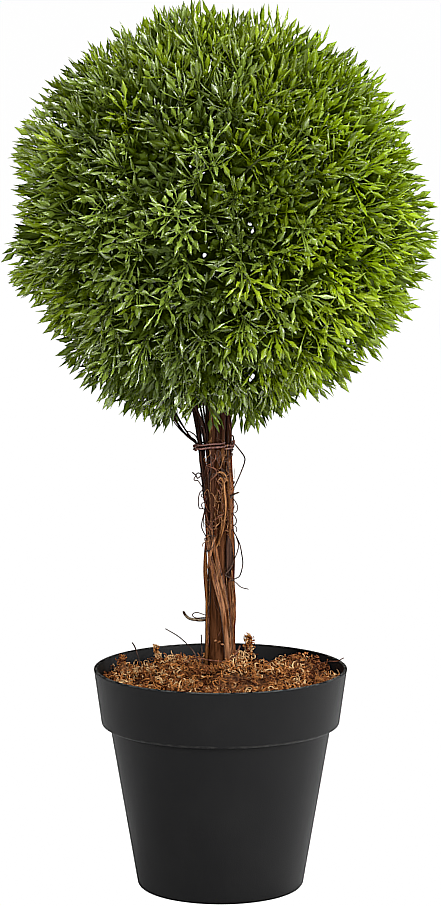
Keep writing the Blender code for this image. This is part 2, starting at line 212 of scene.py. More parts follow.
def swept(
    paths: Array,
    side: Array,
    up: Array,
    widths: Array,
    heights: Array,
    sides: int,
    foot: Array | None = None,
    tip: Array | None = None,
) -> Surface:
    """Closed limbs along many paths at once.

    A point is path + width cos(a) side + height sin(a) up, with a going once round each ring in equal steps. A pole
    closes each end.

    Args:
        paths: ring centres as [limb, ring, xyz].
        side: the first direction across, shaped as the paths.
        up: the second direction across, shaped as the paths.
        widths: the half width along side, as [limb, ring] or as [limb, ring, step round].
        heights: the half height along up, shaped as the widths.
        sides: how many steps go round a ring.
        foot: the first ends' poles as [limb, xyz], or None for the first ring's centre.
        tip: the last ends' poles as [limb, xyz], or None for the last ring's centre.

    Returns:
        All the limbs as one surface.
    """
    count, rings, _ = paths.shape
    turn = math.tau * np.arange(sides) / sides
    widths = widths if widths.ndim == 3 else widths[..., None]
    heights = heights if heights.ndim == 3 else heights[..., None]
    out = paths[:, :, None] + (widths * np.cos(turn))[..., None] * side[:, :, None]
    out = out + (heights * np.sin(turn))[..., None] * up[:, :, None]
    foot = paths[:, 0] if foot is None else foot
    tip = paths[:, -1] if tip is None else tip
    points = np.concatenate([out.reshape(count, -1, 3), foot[:, None], tip[:, None]], axis=1)

    step = np.arange(sides)
    after = (step + 1) % sides
    ring = np.arange(rings - 1)[:, None] * sides
    quads = np.stack([ring + step, ring + after, ring + after + sides, ring + step + sides], -1).reshape(-1, 4)
    pole = np.full(sides, rings * sides)
    last = (rings - 1) * sides
    caps = np.concatenate([np.stack([pole, after, step], -1), np.stack([pole + 1, last + step, last + after], -1)])
    start = (np.arange(count) * (rings * sides + 2))[:, None, None]
    return Surface(points.reshape(-1, 3), (quads + start).reshape(-1, 4), (caps + start).reshape(-1, 3))


def round_limbs(paths: Array, radii: Array, sides: int, pointed: bool = False) -> Surface:
    """Round limbs along many paths, by the formula of swept with equal widths and heights.

    Args:
        paths: ring centres as [limb, ring, xyz].
        radii: the radius as [limb, ring] or as [limb, ring, step round].
        sides: how many steps go round a ring.
        pointed: whether the far end runs out to a point one radius and a half past its last ring.

    Returns:
        All the limbs as one surface.
    """
    side, up = carried_frames(paths)
    tip = None
    if pointed:
        last = radii[:, -1] if radii.ndim == 2 else radii[:, -1].mean(-1)
        tip = paths[:, -1] + unit(paths[:, -1] - paths[:, -2]) * 1.5 * last[:, None]
    return swept(paths, side, up, radii, radii, sides, tip=tip)


def flat_limb(path: Array, widths: Array, heights: Array, facing: Array, sides: int) -> Surface:
    """One flat limb along a path, by the formula of swept, its up being the facing made square to the path.

    Args:
        path: the ring centres, one a row.
        widths: the half width of each ring.
        heights: the half thickness of each ring.
        facing: the way that its flat side looks.
        sides: how many steps go round a ring.

    Returns:
        The closed limb.
    """
    ahead = unit(np.gradient(path, axis=0))
    up = unit(facing - dot(np.broadcast_to(facing, ahead.shape), ahead) * ahead)
    return swept(path[None], np.cross(up, ahead)[None], up[None], widths[None], heights[None], sides)


def turned(profile: Array, segments: int) -> Surface:
    """An outline turned once round Z, its first and last points both on the axis.

    A point is (r cos a, r sin a, z) for each (r, z) of the outline and each a in equal steps. Where the outline
    meets the axis a pole takes the ring's place.

    Args:
        profile: (r, z) rows that run up the outside, over the top and down the inside.
        segments: how many steps go round.

    Returns:
        The closed surface, facing out.
    """
    turn = math.tau * np.arange(segments) / segments
    inner = profile[1:-1]
    ring = np.stack(
        [
            inner[:, :1] * np.cos(turn),
            inner[:, :1] * np.sin(turn),
            np.repeat(inner[:, 1:], segments, axis=1),
        ],
        -1,
    )
    poles = np.array([[0, 0, profile[0, 1]], [0, 0, profile[-1, 1]]])
    points = np.concatenate([ring.reshape(-1, 3), poles])
    step = np.arange(segments)
    after = (step + 1) % segments
    row = np.arange(len(inner) - 1)[:, None] * segments
    quads = np.stack([row + step, row + after, row + after + segments, row + step + segments], -1).reshape(-1, 4)
    pole = np.full(segments, len(inner) * segments)
    last = (len(inner) - 1) * segments
    caps = np.concatenate([np.stack([pole, after, step], -1), np.stack([pole + 1, last + step, last + after], -1)])
    return Surface(points, quads, caps)


# Shader maths


class Term:
    """A shader value that adds a Math node when Python arithmetic is done on it."""

    def __init__(self, board: "Board", socket: bpy.types.NodeSocket) -> None:
        """Wraps a socket of the board's node tree."""
        self.board = board
        self.socket = socket

    def _math(self, operation: str, first: "Term | float", second: "Term | float") -> "Term":
        """The result of one Math node."""
        return self.board.term("ShaderNodeMath", {"operation": operation}, {0: first, 1: second})

    def __add__(self, other: "Term | float") -> "Term":
        """self + other."""
        return self._math("ADD", self, other)

    __radd__ = __add__

    def __mul__(self, other: "Term | float") -> "Term":
        """self * other."""
        return self._math("MULTIPLY", self, other)

    __rmul__ = __mul__

    def __sub__(self, other: "Term | float") -> "Term":
        """self - other."""
        return self._math("SUBTRACT", self, other)

    def __rsub__(self, other: "Term | float") -> "Term":
        """other - self."""
        return self._math("SUBTRACT", other, self)

    def __pow__(self, other: "Term | float") -> "Term":
        """self raised to other."""
        return self._math("POWER", self, other)


class Board:
    """The node tree of one material, with its Principled shader."""

    def __init__(self, name: str) -> None:
        """Starts a material with that name."""
        self.made = bpy.data.materials.new(name)
        self.made.use_nodes = True
        self.shader = self.made.node_tree.nodes["Principled BSDF"]

    def node(self, kind: str, settings: dict, inputs: dict) -> bpy.types.Node:
        """Adds one node.

        Args:
            kind: the node's type.
            settings: its properties, set first. "stops" holds a ramp's (place, colour) pairs.
            inputs: the values or links of its sockets, by name or number.

        Returns:
            The node.
        """
        made = self.made.node_tree.nodes.new(kind)
        for name, value in settings.items():
            if name == "stops":
                ramp = made.color_ramp
                while len(ramp.elements) < len(value):
                    ramp.elements.new(1.0)
                for element, (place, colour) in zip(ramp.elements, value):
                    element.position = place
                    element.color = (*colour, 1.0)
            else:
                setattr(made, name, value)
        for name, value in inputs.items():
            self.feed(made.inputs[name], value)
        return made

    def term(self, kind: str, settings: dict, inputs: dict, output: int = 0) -> Term:
        """One output of a new node."""
        return Term(self, self.node(kind, settings, inputs).outputs[output])

    def feed(self, socket: bpy.types.NodeSocket, value: object) -> None:
        """Links a term to a socket, or sets the socket's own value."""
        if isinstance(value, Term):
            self.made.node_tree.links.new(value.socket, socket)
        else:
            socket.default_value = value

    def place(self, scale: tuple[float, float, float] = (1.0, 1.0, 1.0)) -> Term:
        """The object's own coordinates, each axis times its scale."""
        where = self.term("ShaderNodeTexCoord", {}, {}, output=3)
        return self.term("ShaderNodeMapping", {}, {"Vector": where, "Scale": scale})

    def level(self) -> Term:
        """The height over the floor, in metres."""
        where = self.term("ShaderNodeTexCoord", {}, {}, output=3)
        return self.term("ShaderNodeSeparateXYZ", {}, {"Vector": where}, output=2)

    def noise(self, place: Term, scale: float, detail: float = 3.0, roughness: float = 0.55) -> Term:
        """Fractal noise from 0 to 1."""
        inputs = {"Vector": place, "Scale": scale, "Detail": detail, "Roughness": roughness}
        return self.term("ShaderNodeTexNoise", {}, inputs)

    def ramp(self, value: Term, stops: list[tuple[float, Colour]]) -> Term:
        """The colour that the stops give for a value."""
        return self.term("ShaderNodeValToRGB", {"stops": stops}, {"Fac": value})

    def between(self, low: float, high: float, value: Term) -> Term:
        """0 where value is low or less and 1 where it is high or more, with a smooth step between."""
        settings = {"interpolation_type": "SMOOTHSTEP"}
        inputs = {"Value": value, "From Min": low, "From Max": high}
        return self.term("ShaderNodeMapRange", settings, inputs)

    def mix(self, share: Term, first: "Term | Colour", second: "Term | Colour") -> Term:
        """The first colour where share is 0 and the second where it is 1."""
        first = first if isinstance(first, Term) else (*first, 1.0)
        second = second if isinstance(second, Term) else (*second, 1.0)
        return self.term("ShaderNodeMix", {"data_type": "RGBA"}, {0: share, 6: first, 7: second}, output=2)

    def bump(self, height: Term, depth: float, strength: float = 1.0) -> Term:
        """The normal of a surface raised by height times depth."""
        inputs = {"Height": height, "Distance": depth, "Strength": strength}
        return self.term("ShaderNodeBump", {}, inputs)

    def set(self, **sockets: object) -> None:
        """Sets or links the shader's sockets, an underscore in a name standing for a space."""
        for name, value in sockets.items():
            self.feed(self.shader.inputs[name.replace("_", " ")], value)


# Finishes


class Finish:
    """What a piece is made of. Each kind builds its own material once."""

    name: str

    def material(self) -> bpy.types.Material:
        """The material, made on its first use."""
        return bpy.data.materials.get(self.name) or self.build()

    def build(self) -> bpy.types.Material:
        """Makes the material."""
        raise NotImplementedError


@dataclass(frozen=True)
class LeafFinish(Finish):
    """Moulded leaf plastic of one plain green, with a satin sheen."""

    name: str
    colour: Colour
    roughness: float = 0.27
    gloss: float = 0.74
    # Painted light: a faint emission of a share of the green.
    glow: float = 0.035
    index: float = 1.68

    def cast(self, cast: "Cast") -> "LeafFinish":
        """This green as it leans to one side of the colour circle."""
        red, blue, gloss = cast.value
        colour = (self.colour[0] * red, self.colour[1], self.colour[2] * blue)
        return LeafFinish(f"{self.name}_{cast.name.lower()}", colour, self.roughness, self.gloss * gloss, self.glow)

    def build(self) -> bpy.types.Material:
        """A plain green, as the sprays differ from one another and not along themselves.

        The glow is painted light: a constant emission of a share of the green that lifts the leaves in shade, standing
        in for the little light that comes through thin leaves from behind.
        """
        board = Board(self.name)
        board.set(Base_Color=(*self.colour, 1.0), Roughness=self.roughness, Specular_IOR_Level=self.gloss)
        board.set(Emission_Color=(*self.colour, 1.0), Emission_Strength=self.glow, IOR=self.index)
        return board.made


@dataclass(frozen=True)
class FibreFinish(Finish):
    """Dry moss fibres of one plain colour."""

    name: str
    colour: Colour
    roughness: float = 0.72

    def build(self) -> bpy.types.Material:
        """A plain dry colour, as the fibres differ from one another and not along themselves."""
        board = Board(self.name)
        board.set(Base_Color=(*self.colour, 1.0), Roughness=self.roughness, Specular_IOR_Level=0.12)
        return board.made


@dataclass(frozen=True)
class SkinFinish(Finish):
    """The dry skin of a thin tendril or twig, mottled and finely wrinkled."""

    name: str
    dark: Colour
    light: Colour
    roughness: float = 0.62

    def build(self) -> bpy.types.Material:
        """Mottles from noise, with wrinkles in the bump."""
        board = Board(self.name)
        place = board.place()
        mottle = board.noise(place, 320.0, detail=3.0)
        wrinkle = board.noise(place, 1900.0, detail=2.0)
        board.set(
            Base_Color=board.mix(board.between(0.36, 0.66, mottle), self.dark, self.light),
            Roughness=self.roughness + 0.2 * mottle,
            Normal=board.bump(wrinkle, 0.0002, 0.7),
            Specular_IOR_Level=0.2,
        )
        return board.made


@dataclass(frozen=True)
class BarkFinish(Finish):
    """Dried vine bark: long dark and light streaks, patches where it has peeled, and fine fibres.

    Its last field holds the heights between which it darkens to a near black, painted shade under the ball, or is None
    for a stem that doesn't.
    """

    name: str
    dark: Colour
    middle: Colour
    light: Colour
    streak_scale: float = 420.0
    stretch: float = 0.07
    peeled: float = 0.35
    painted_shade_heights: tuple[float, float] | None = None

    def build(self) -> bpy.types.Material:
        """Streaks from noise drawn out along Z, under patches of the light colour."""
        board = Board(self.name)
        along = board.place((1.0, 1.0, self.stretch))
        streaks = board.noise(along, self.streak_scale, detail=5.0, roughness=0.62)
        patches = board.noise(board.place((1.0, 1.0, 0.35)), 95.0, detail=3.0)
        strands = board.noise(along, self.streak_scale * 2.6, detail=2.0)
        mixed = streaks * 0.68 + strands * 0.32
        colour = board.ramp(mixed, [(0.34, self.dark), (0.48, self.middle), (0.65, self.light)])
        bare = board.between(0.72 - self.peeled * 0.5, 0.80 - self.peeled * 0.4, patches)
        colour = board.mix(bare * 0.5, colour, self.light)
        worn = board.between(0.34, 0.45, patches)
        colour = board.mix(worn, self.dark, colour)
        # Painted shade: from these heights up the bark darkens to near black, for the shade under the ball.
        if self.painted_shade_heights:
            under_ball_shade = board.between(*self.painted_shade_heights, board.level() + (patches - 0.5) * 0.03)
            colour = board.mix(under_ball_shade, colour, board.mix(streaks, (0.010, 0.0035, 0.0015), (0.070, 0.025, 0.011)))
        grain = board.noise(board.place((1.0, 1.0, 0.3)), 2600.0, detail=2.0)
        height = streaks * 0.6 + strands * 0.3 + grain * 0.1
        board.set(
            Base_Color=colour,
            Roughness=0.52 + 0.30 * streaks,
            Normal=board.bump(height, 0.0010, 1.0),
            Specular_IOR_Level=0.06,
        )
        return board.made


@dataclass(frozen=True)
class PotFinish(Finish):
    """Moulded black plastic: matt, with a faint grain, soft dust, and a painted highlight along the edges of lip and
    collar.
    """

    name: str = "black_pot_plastic"
    colour: Colour = (0.0040, 0.0040, 0.0043)
    dust: Colour = (0.0090, 0.0090, 0.0088)
    # The paler colour of the lip's and the ledge's edges: a painted highlight.
    highlight_and_wear: Colour = (0.110, 0.107, 0.098)
    lip: tuple[float, float] = (0.15325, 0.15385)
    ledge: tuple[float, float, float, float] = (0.1138, 0.1146, 0.1156, 0.1170)

    def build(self) -> bpy.types.Material:
        """A dark base, dusted by soft noise, with a painted highlight along its edges and fine grain in the bump."""
        board = Board(self.name)
        place = board.place()
        level = board.level()
        clouds = board.noise(place, 24.0, detail=4.0)
        grain = board.noise(place, 1500.0, detail=3.0, roughness=0.6)
        speck = board.between(0.66, 0.74, board.noise(place, 620.0, detail=2.0))
        drawn = board.noise(board.place((1.0, 1.0, 0.12)), 160.0, detail=3.0)
        share = board.between(0.35, 0.80, clouds) * 0.40 + speck * 0.14 + board.between(0.5, 0.8, drawn) * 0.12
        # Painted highlight: the top of the lip and the ledge at the foot of the collar are paler, broken by noise,
        # where their edges catch the light.
        low, foot, top, high = self.ledge
        ledge = board.between(low, foot, level) * (1 - board.between(top, high, level))
        edge = board.between(*self.lip, level) + ledge * 0.22
        broken = board.between(0.40, 0.62, board.noise(place, 210.0, detail=3.0))
        dusty = board.mix(share, self.colour, self.dust)
        board.set(
            Base_Color=board.mix(edge * broken * 0.55, dusty, self.highlight_and_wear),
            Roughness=0.40 + 0.14 * clouds + 0.06 * drawn,
            Normal=board.bump(grain * 0.7 + drawn * 0.3, 0.00022, 0.5),
            Specular_IOR_Level=0.12,
        )
        return board.made


@dataclass(frozen=True)
class MossFinish(Finish):
    """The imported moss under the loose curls: dark and crumbly, with rusty and golden bits."""

    name: str = "moss_bed"
    dark: Colour = (0.030, 0.008, 0.0015)
    middle: Colour = (0.140, 0.052, 0.016)
    light: Colour = (0.42, 0.185, 0.060)

    def build(self) -> bpy.types.Material:
        """Crumbs from cell noise over soft noise."""
        board = Board(self.name)
        place = board.place()
        crumbs = board.term("ShaderNodeTexVoronoi", {"feature": "F1"}, {"Vector": place, "Scale": 520.0})
        soft = board.noise(place, 240.0, detail=6.0, roughness=0.68)
        mixed = soft * 0.8 + crumbs * 0.2
        board.set(
            Base_Color=board.ramp(mixed, [(0.40, self.dark), (0.55, self.middle), (0.70, self.light)]),
            Roughness=0.85 + 0.1 * soft,
            Normal=board.bump(mixed, 0.0016, 1.0),
            Specular_IOR_Level=0.25,
        )
        return board.made


@dataclass(frozen=True)
class WireFinish(Finish):
    """Red-brown coated wire, worn pale in fine streaks."""

    name: str = "tie_wire"
    colour: Colour = (0.062, 0.018, 0.011)
    highlight_and_wear: Colour = (0.200, 0.085, 0.062)

    def build(self) -> bpy.types.Material:
        """A brown coat, worn pale in small patches."""
        board = Board(self.name)
        rub = board.between(0.46, 0.66, board.noise(board.place(), 700.0, detail=3.0))
        board.set(
            Base_Color=board.mix(rub * 0.7, self.colour, self.highlight_and_wear),
            Roughness=0.36 + 0.2 * rub,
            Normal=board.bump(rub, 0.0001, 0.6),
        )
        return board.made


@dataclass(frozen=True)
class PlasterFinish(Finish):
    """The set filling under the moss: dull, pitted and stained by what lies on it."""

    name: str = "set_filling"
    pale: Colour = (0.36, 0.32, 0.26)
    stain: Colour = (0.15, 0.10, 0.06)

    def build(self) -> bpy.types.Material:
        """Stains from soft noise and pits from cell noise."""
        board = Board(self.name)
        place = board.place()
        soft = board.noise(place, 60.0, detail=5.0)
        pits = board.term("ShaderNodeTexVoronoi", {"feature": "F1"}, {"Vector": place, "Scale": 300.0})
        board.set(
            Base_Color=board.mix(board.between(0.40, 0.68, soft), self.pale, self.stain),
            Roughness=0.80 + 0.15 * soft,
            Normal=board.bump(pits + soft, 0.0006, 0.8),
        )
        return board.made


@dataclass(frozen=True)
class FloorFinish(Finish):
    """The plain pale floor, which shines a little of its own so that it stays white out to where no light reaches."""

    name: str = "pale_floor"
    colour: Colour = (0.88, 0.88, 0.88)
    seen_colour: Colour = (0.05, 0.05, 0.05)
    glow: float = 0.985

    def build(self) -> bpy.types.Material:
        """A matt white. Its own light shows but falls on nothing, so it doesn't wash out the plant's shaded side."""
        board = Board(self.name)
        seen = board.term("ShaderNodeLightPath", {}, {}, output=0)
        glow = board.mix(seen, (0.0, 0.0, 0.0), (self.glow, self.glow, self.glow))
        board.set(
            Base_Color=board.mix(seen, self.colour, self.seen_colour),
            Roughness=0.9,
            Specular_IOR_Level=0.0,
            Emission_Color=glow,
            Emission_Strength=1.0,
        )
        return board.made


class Green(Enum):
    """The plain greens that the sprays are dealt: painted shade for the shaded inside up to painted light on the sunlit
    crown.
    """

    # The two darkest glow more: painted light that lifts the shaded inside.
    SHADE = LeafFinish("leaf_shade", (0.029, 0.046, 0.0024), 0.6, 0.06, 0.13)
    DEEP = LeafFinish("leaf_deep", (0.056, 0.085, 0.0036), 0.42, 0.20, 0.08)
    OLIVE = LeafFinish("leaf_olive", (0.104, 0.150, 0.0060))
    MIDDLE = LeafFinish("leaf_middle", (0.150, 0.218, 0.0090))
    FRESH = LeafFinish("leaf_fresh", (0.200, 0.288, 0.0140))
    BRIGHT = LeafFinish("leaf_bright", (0.262, 0.365, 0.0240))


class Cast(Enum):
    """How a green leans: factors on its red, its blue and its gloss.

    The front is cool, its bluer green a painted sheen, and the sunlit right side warm, its yellower green painted
    light.
    """

    COOL = (1.01, 2.3, 1.30)
    PLAIN = (1.03, 0.5, 0.70)
    WARM = (0.98, 0.2, 0.45)


class Moss(Enum):
    """The plain colours of the loose moss curls."""

    UMBER = FibreFinish("moss_umber", (0.056, 0.014, 0.003))
    RUST = FibreFinish("moss_rust", (0.185, 0.061, 0.019))
    AMBER = FibreFinish("moss_amber", (0.370, 0.145, 0.040))
    STRAW = FibreFinish("moss_straw", (0.560, 0.340, 0.160))


DARK_BARK = BarkFinish("dark_bark", (0.013, 0.0035, 0.0006), (0.042, 0.0125, 0.0028), (0.100, 0.036, 0.013), painted_shade_heights=(0.296, 0.314))
RED_BARK = BarkFinish("red_bark", (0.022, 0.0055, 0.0008), (0.076, 0.022, 0.006), (0.220, 0.092, 0.042), peeled=0.45, painted_shade_heights=(0.296, 0.314))
BROWN_BARK = BarkFinish("brown_bark", (0.017, 0.005, 0.0006), (0.078, 0.027, 0.006), (0.240, 0.108, 0.044), painted_shade_heights=(0.298, 0.318))
VINE_BARK = BarkFinish(
    "vine_bark", (0.031, 0.007, 0.0010), (0.115, 0.037, 0.009), (0.345, 0.168, 0.084), peeled=0.5, painted_shade_heights=(0.243, 0.260)
)
PALE_BARK = BarkFinish("pale_vine_bark", (0.050, 0.015, 0.003), (0.165, 0.064, 0.018), (0.420, 0.225, 0.105), peeled=0.5)
TAN_BARK = BarkFinish("tan_bark", (0.030, 0.009, 0.002), (0.108, 0.042, 0.012), (0.250, 0.120, 0.050), peeled=0.4)
BLACK_BARK = BarkFinish("black_bark", (0.008, 0.004, 0.003), (0.026, 0.012, 0.008), (0.070, 0.034, 0.022))
TENDRIL = SkinFinish("tendril_brown", (0.016, 0.009, 0.007), (0.070, 0.038, 0.027))
TAN_TENDRIL = SkinFinish("tendril_tan", (0.100, 0.042, 0.016), (0.290, 0.135, 0.056))
SPUR = SkinFinish("tendril_grey", (0.045, 0.030, 0.020), (0.190, 0.150, 0.105))
RED_TENDRIL = SkinFinish("tendril_red", (0.045, 0.014, 0.008), (0.180, 0.066, 0.034))
TWIG = SkinFinish("twig_green", (0.018, 0.026, 0.006), (0.070, 0.090, 0.018))
POT = PotFinish()
MOSS_BED = MossFinish()
WIRE = WireFinish()
PLASTER = PlasterFinish()
FLOOR = FloorFinish()


def settle(piece: bpy.types.Object, slot: str, *nodes: str) -> None:
    """Joins a finished piece to the frame.

    Args:
        piece: the new object.
        slot: the name of the record's material slot; not used.
        nodes: the solids that it stands for.
    """
    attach(piece, "root")
    if nodes:
        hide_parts(*nodes)
    log.info("%-22s %7d triangles", piece.name, sum(len(face.vertices) - 2 for face in piece.data.polygons))


# The pot


@dataclass
class Pot:
    """The tapered nursery pot with its deep collar and rounded lip."""

    base_radius: float = 0.0572
    slope: float = 0.168
    collar_foot_z: float = 0.1145
    collar_foot_radius: float = 0.0825
    rim_radius: float = 0.0876
    wall: float = 0.0018
    floor: float = 0.003
    fillet: float = 0.004
    lip: float = 0.0008
    step_round: float = 0.0022
    segments: int = 224

    def body_radius(self, z: float) -> float:
        """The outside below the collar: the base radius, plus the slope times the height."""
        return self.base_radius + self.slope * z

    def inner_radius(self, z: float) -> float:
        """The inside above the collar's foot: the collar's line, less the wall."""
        share = (z - self.collar_foot_z - self.wall) / (POT_HEIGHT - self.collar_foot_z - self.wall)
        return self.collar_foot_radius + (self.rim_radius - self.lip - self.collar_foot_radius) * share - self.wall

    @staticmethod
    def arc(centre: tuple[float, float], radius: float, start: float, end: float, steps: int) -> Array:
        """Points (r, z) = centre + radius (cos a, sin a), with a in degrees from start to end."""
        turn = np.radians(np.linspace(start, end, steps))
        return np.stack([centre[0] + radius * np.cos(turn), centre[1] + radius * np.sin(turn)], -1)

    def outline(self) -> Array:
        """The outline from the middle of the underside, up the outside, over the lip and down the inside."""
        lean = math.degrees(math.atan(self.slope))
        foot = self.arc((self.body_radius(self.fillet) - self.fillet, self.fillet), self.fillet, -90, -lean, 8)
        under = self.body_radius(self.collar_foot_z)
        rise = self.collar_foot_z
        neck = self.arc((under + 0.0012, rise - 0.0012), 0.0012, 180 - lean, 90, 6)
        step = self.arc(
            (self.collar_foot_radius - self.step_round, rise + self.step_round), self.step_round, -90, -8, 9
        )
        side = np.linspace(step[-1], (self.rim_radius - 0.0003, POT_HEIGHT - 0.0024), 14)[1:]
        lip = self.arc((self.rim_radius - self.lip, POT_HEIGHT - self.lip), self.lip, -10, 90, 7)
        inner_lip = self.arc((self.rim_radius - self.wall, POT_HEIGHT - 0.0005), 0.0005, 90, 180, 4)
        body = np.linspace(foot[-1], neck[0], 26)[1:-1]
        shoulder = rise + self.wall
        down = np.array(
            [
                (self.inner_radius(POT_HEIGHT - 0.003), POT_HEIGHT - 0.003),
                (self.inner_radius(0.135), 0.135),
                (self.inner_radius(shoulder), shoulder),
                (self.body_radius(shoulder) - self.wall, shoulder),
                (self.body_radius(0.008) - self.wall, 0.008),
                (self.body_radius(self.floor) - self.wall - self.fillet, self.floor),
            ]
        )
        ends = np.array([(0.0, 0.0)]), np.array([(0.0, self.floor)])
        return np.concatenate([ends[0], foot, body, neck, step, side, lip, inner_lip, down, ends[1]])

    def build(self) -> None:
        """Makes the pot and dresses it."""
        piece = turned(self.outline(), self.segments).to_object("pot_shell", POT)
        piece.data.set_sharp_from_angle(angle=math.radians(50))
        settle(piece, "pot_plastic", "pot")


# The moss


@dataclass
class MossBed:
    """Dried moss: a lumpy bed, clumps of curled fibres all over it, and a few longer strands and twigs."""

    level: float = 0.1450
    bank: float = 0.0145
    bank_width: float = 0.034
    rear_bank_width: float = 0.010
    rear_drop: float = 0.0030
    hole: float = 0.0160
    bed_hole: float = 0.0120
    edge: float = 0.0832
    rings: int = 60
    segments: int = 200
    clumps: int = 360
    fibres: int = 14
    curl_rings: int = 9
    tufts: tuple[tuple[int, tuple, tuple, tuple, float], ...] = (
        (14, (0.0197, 0.016, 0.158), (0.0194, 0.018, 0.173), (0.0016, 0.0010), 0.0025),
        (3, (-0.0690, 0.012, 0.154), (-0.0680, 0.012, 0.159), (0.0019, 0.0012), 0.0),
        (5, (-0.0440, 0.024, 0.154), (-0.0455, 0.025, 0.164), (0.0017, 0.0006), 0.0),
    )
    tuft_curl: float = 0.52

    def lumps(self) -> Array:
        """Rows of (x, y, height, spread), by the rule that the solid moss follows."""
        draw = random.Random(SEED)
        rows = [
            (0.0195, 0.018, 0.0070, 0.0030),
            (-0.068, 0.012, 0.0150, 0.0055),
            (-0.0455, 0.025, 0.0100, 0.0035),
            (0.055, 0.040, 0.0095, 0.0100),
            (0.047, 0.056, 0.0070, 0.0130),
            (0.071, 0.034, 0.0110, 0.0110),
            (0.029, -0.010, -0.0040, 0.0080),
            (0.030, 0.002, -0.0065, 0.0080),
            (0.029, 0.010, -0.0120, 0.0095),
            (0.028, 0.028, -0.0110, 0.0085),
            (0.028, 0.046, -0.0100, 0.0090),
            (0.029, 0.064, -0.0100, 0.0095),
            (-0.020, 0.008, -0.0030, 0.0070),
        ]
        for _ in range(34):
            turn = draw.uniform(0, math.tau)
            away = draw.uniform(self.hole, 0.07592)
            height = draw.uniform(-0.0030, 0.0045)
            rows.append((away * math.cos(turn), away * math.sin(turn), height, draw.uniform(0.007, 0.014)))
        return np.array(rows)

    def height(self, x: Array, y: Array) -> Array:
        """The top of the bed.

        It is the level at the wall, plus a bank round the trunk that falls off as exp(-d^2) and is narrower at the
        rear, where the bed lies lower, plus the lumps, each
        its height times exp(-d^2 / spread^2). The lumps fade towards the wall.
        """
        away = np.hypot(x, y)
        rear = smooth((y + 0.006) / 0.024)
        width = self.bank_width + (self.rear_bank_width - self.bank_width) * rear
        bank = self.bank * np.exp(-(((away - self.hole) / width) ** 2)) - self.rear_drop * rear
        lump_x, lump_y, high, spread = self.lumps().T
        near = ((x[..., None] - lump_x) ** 2 + (y[..., None] - lump_y) ** 2) / spread**2
        raised = (high * np.exp(-near)).sum(-1)
        fade = 1 - smooth((away - 0.070) / 0.012)
        return self.level + bank + np.maximum(-0.009, raised) * (0.35 + 0.65 * fade)

    def bed(self) -> Surface:
        """The bed as rings from the hole to the wall and down it, z = height(x, y) plus small seeded ripples."""
        away = np.linspace(self.bed_hole, self.edge, self.rings)[:, None]
        turn = (math.tau * np.arange(self.segments) / self.segments)[None]
        x, y = away * np.cos(turn), away * np.sin(turn)
        ripple = 0.0007 * np.sin(900 * x + 3 * np.sin(410 * y)) * np.sin(820 * y + 2 * np.sin(530 * x))
        top = np.stack([x, y, self.height(x, y) - 0.0022 + ripple], -1)
        low_in = np.stack([x[0], y[0], np.full_like(x[0], 0.1290)], -1)[None]
        low_out = np.stack([x[-1] * 0.985, y[-1] * 0.985, np.full_like(x[0], 0.1290)], -1)[None]
        points = np.concatenate([low_in, top, low_out])
        rows = len(points)
        step = np.arange(self.segments)
        after = (step + 1) % self.segments
        row = np.arange(rows)[:, None] * self.segments
        nxt = (np.arange(rows)[:, None] + 1) % rows * self.segments
        quads = np.stack([row + step, nxt + step, nxt + after, row + after], -1).reshape(-1, 4)
        return Surface(points.reshape(-1, 3), quads)

    def clump_places(self, rng: np.random.Generator) -> tuple[Array, Array]:
        """The clumps' middles and spreads.

        Clump i lies at the radius that shares the disc's area evenly and turns by the golden angle from the one
        before, moved by a few millimetres, at a seeded height over the bed. The tufts follow.
        """
        index = np.arange(self.clumps)
        away = np.sqrt(self.hole**2 * 0.8 + (self.edge**2 - self.hole**2 * 0.8) * (index + 0.5) / self.clumps)
        turn = index * math.pi * (3 - math.sqrt(5))
        x = away * np.cos(turn) + rng.normal(0, 0.0016, self.clumps)
        y = away * np.sin(turn) + rng.normal(0, 0.0016, self.clumps)
        z = self.height(x, y) + rng.uniform(-0.0030, 0.0028, self.clumps)
        places, spreads = [np.stack([x, y, z], -1)], [rng.uniform(0.0018, 0.0036, self.clumps)]
        for count, foot, top, spread, head in self.tufts:
            share = np.linspace(0, 1, count)
            places.append(np.linspace(foot, top, count))
            places[-1][:, 0] += head * share**2 * np.sin(2.4 * np.arange(count))
            spreads.append(spread[0] + (spread[1] - spread[0]) * share)
        return np.concatenate(places), np.concatenate(spreads)

    def curl_paths(self, middles: Array, spreads: Array, scale: Array, rng: np.random.Generator) -> Array:
        """Paths of curled fibres round their clumps' middles, each as long as its scale says.

        A fibre's heading turns evenly along it, plus a sine, its climb swings as another sine, and its points are
        the running sum of steps along that direction, set about a seeded place in the clump.
        """
        count = len(middles)
        share = np.linspace(0, 1, self.curl_rings)
        length = rng.uniform(0.0055, 0.0155, (count, 1)) * scale[:, None]
        swing = rng.uniform(2.5, 8.5, (count, 1)) * rng.choice([-1, 1], (count, 1))
        heading = rng.uniform(0, math.tau, (count, 1)) + swing * share
        heading = heading + rng.uniform(0.2, 1.2, (count, 1)) * np.sin(rng.uniform(5, 12, (count, 1)) * share)
        climb = rng.normal(0.05, 0.35, (count, 1)) + rng.uniform(0.3, 1.1, (count, 1)) * np.sin(
            rng.uniform(3, 10, (count, 1)) * share + rng.uniform(0, math.tau, (count, 1))
        )
        step = np.stack([np.cos(climb) * np.cos(heading), np.cos(climb) * np.sin(heading), np.sin(climb)], -1)
        route = np.cumsum(step * (length / self.curl_rings)[..., None], axis=1)
        route = route - route.mean(axis=1, keepdims=True)
        start = middles + rng.normal(0, 1, middles.shape) * spreads[:, None] * np.array([1.0, 1.0, 0.55])
        return self.inside(start[:, None] + route)

    def inside(self, paths: Array) -> Array:
        """The paths with each point drawn in to the pot's wall where it would pass it."""
        away = np.hypot(paths[..., 0], paths[..., 1])
        limit = 0.0826 + 0.10 * (paths[..., 2] - 0.145)
        pull = np.minimum(1.0, limit / np.maximum(away, 1e-6))
        paths[..., :2] *= pull[..., None]
        return paths

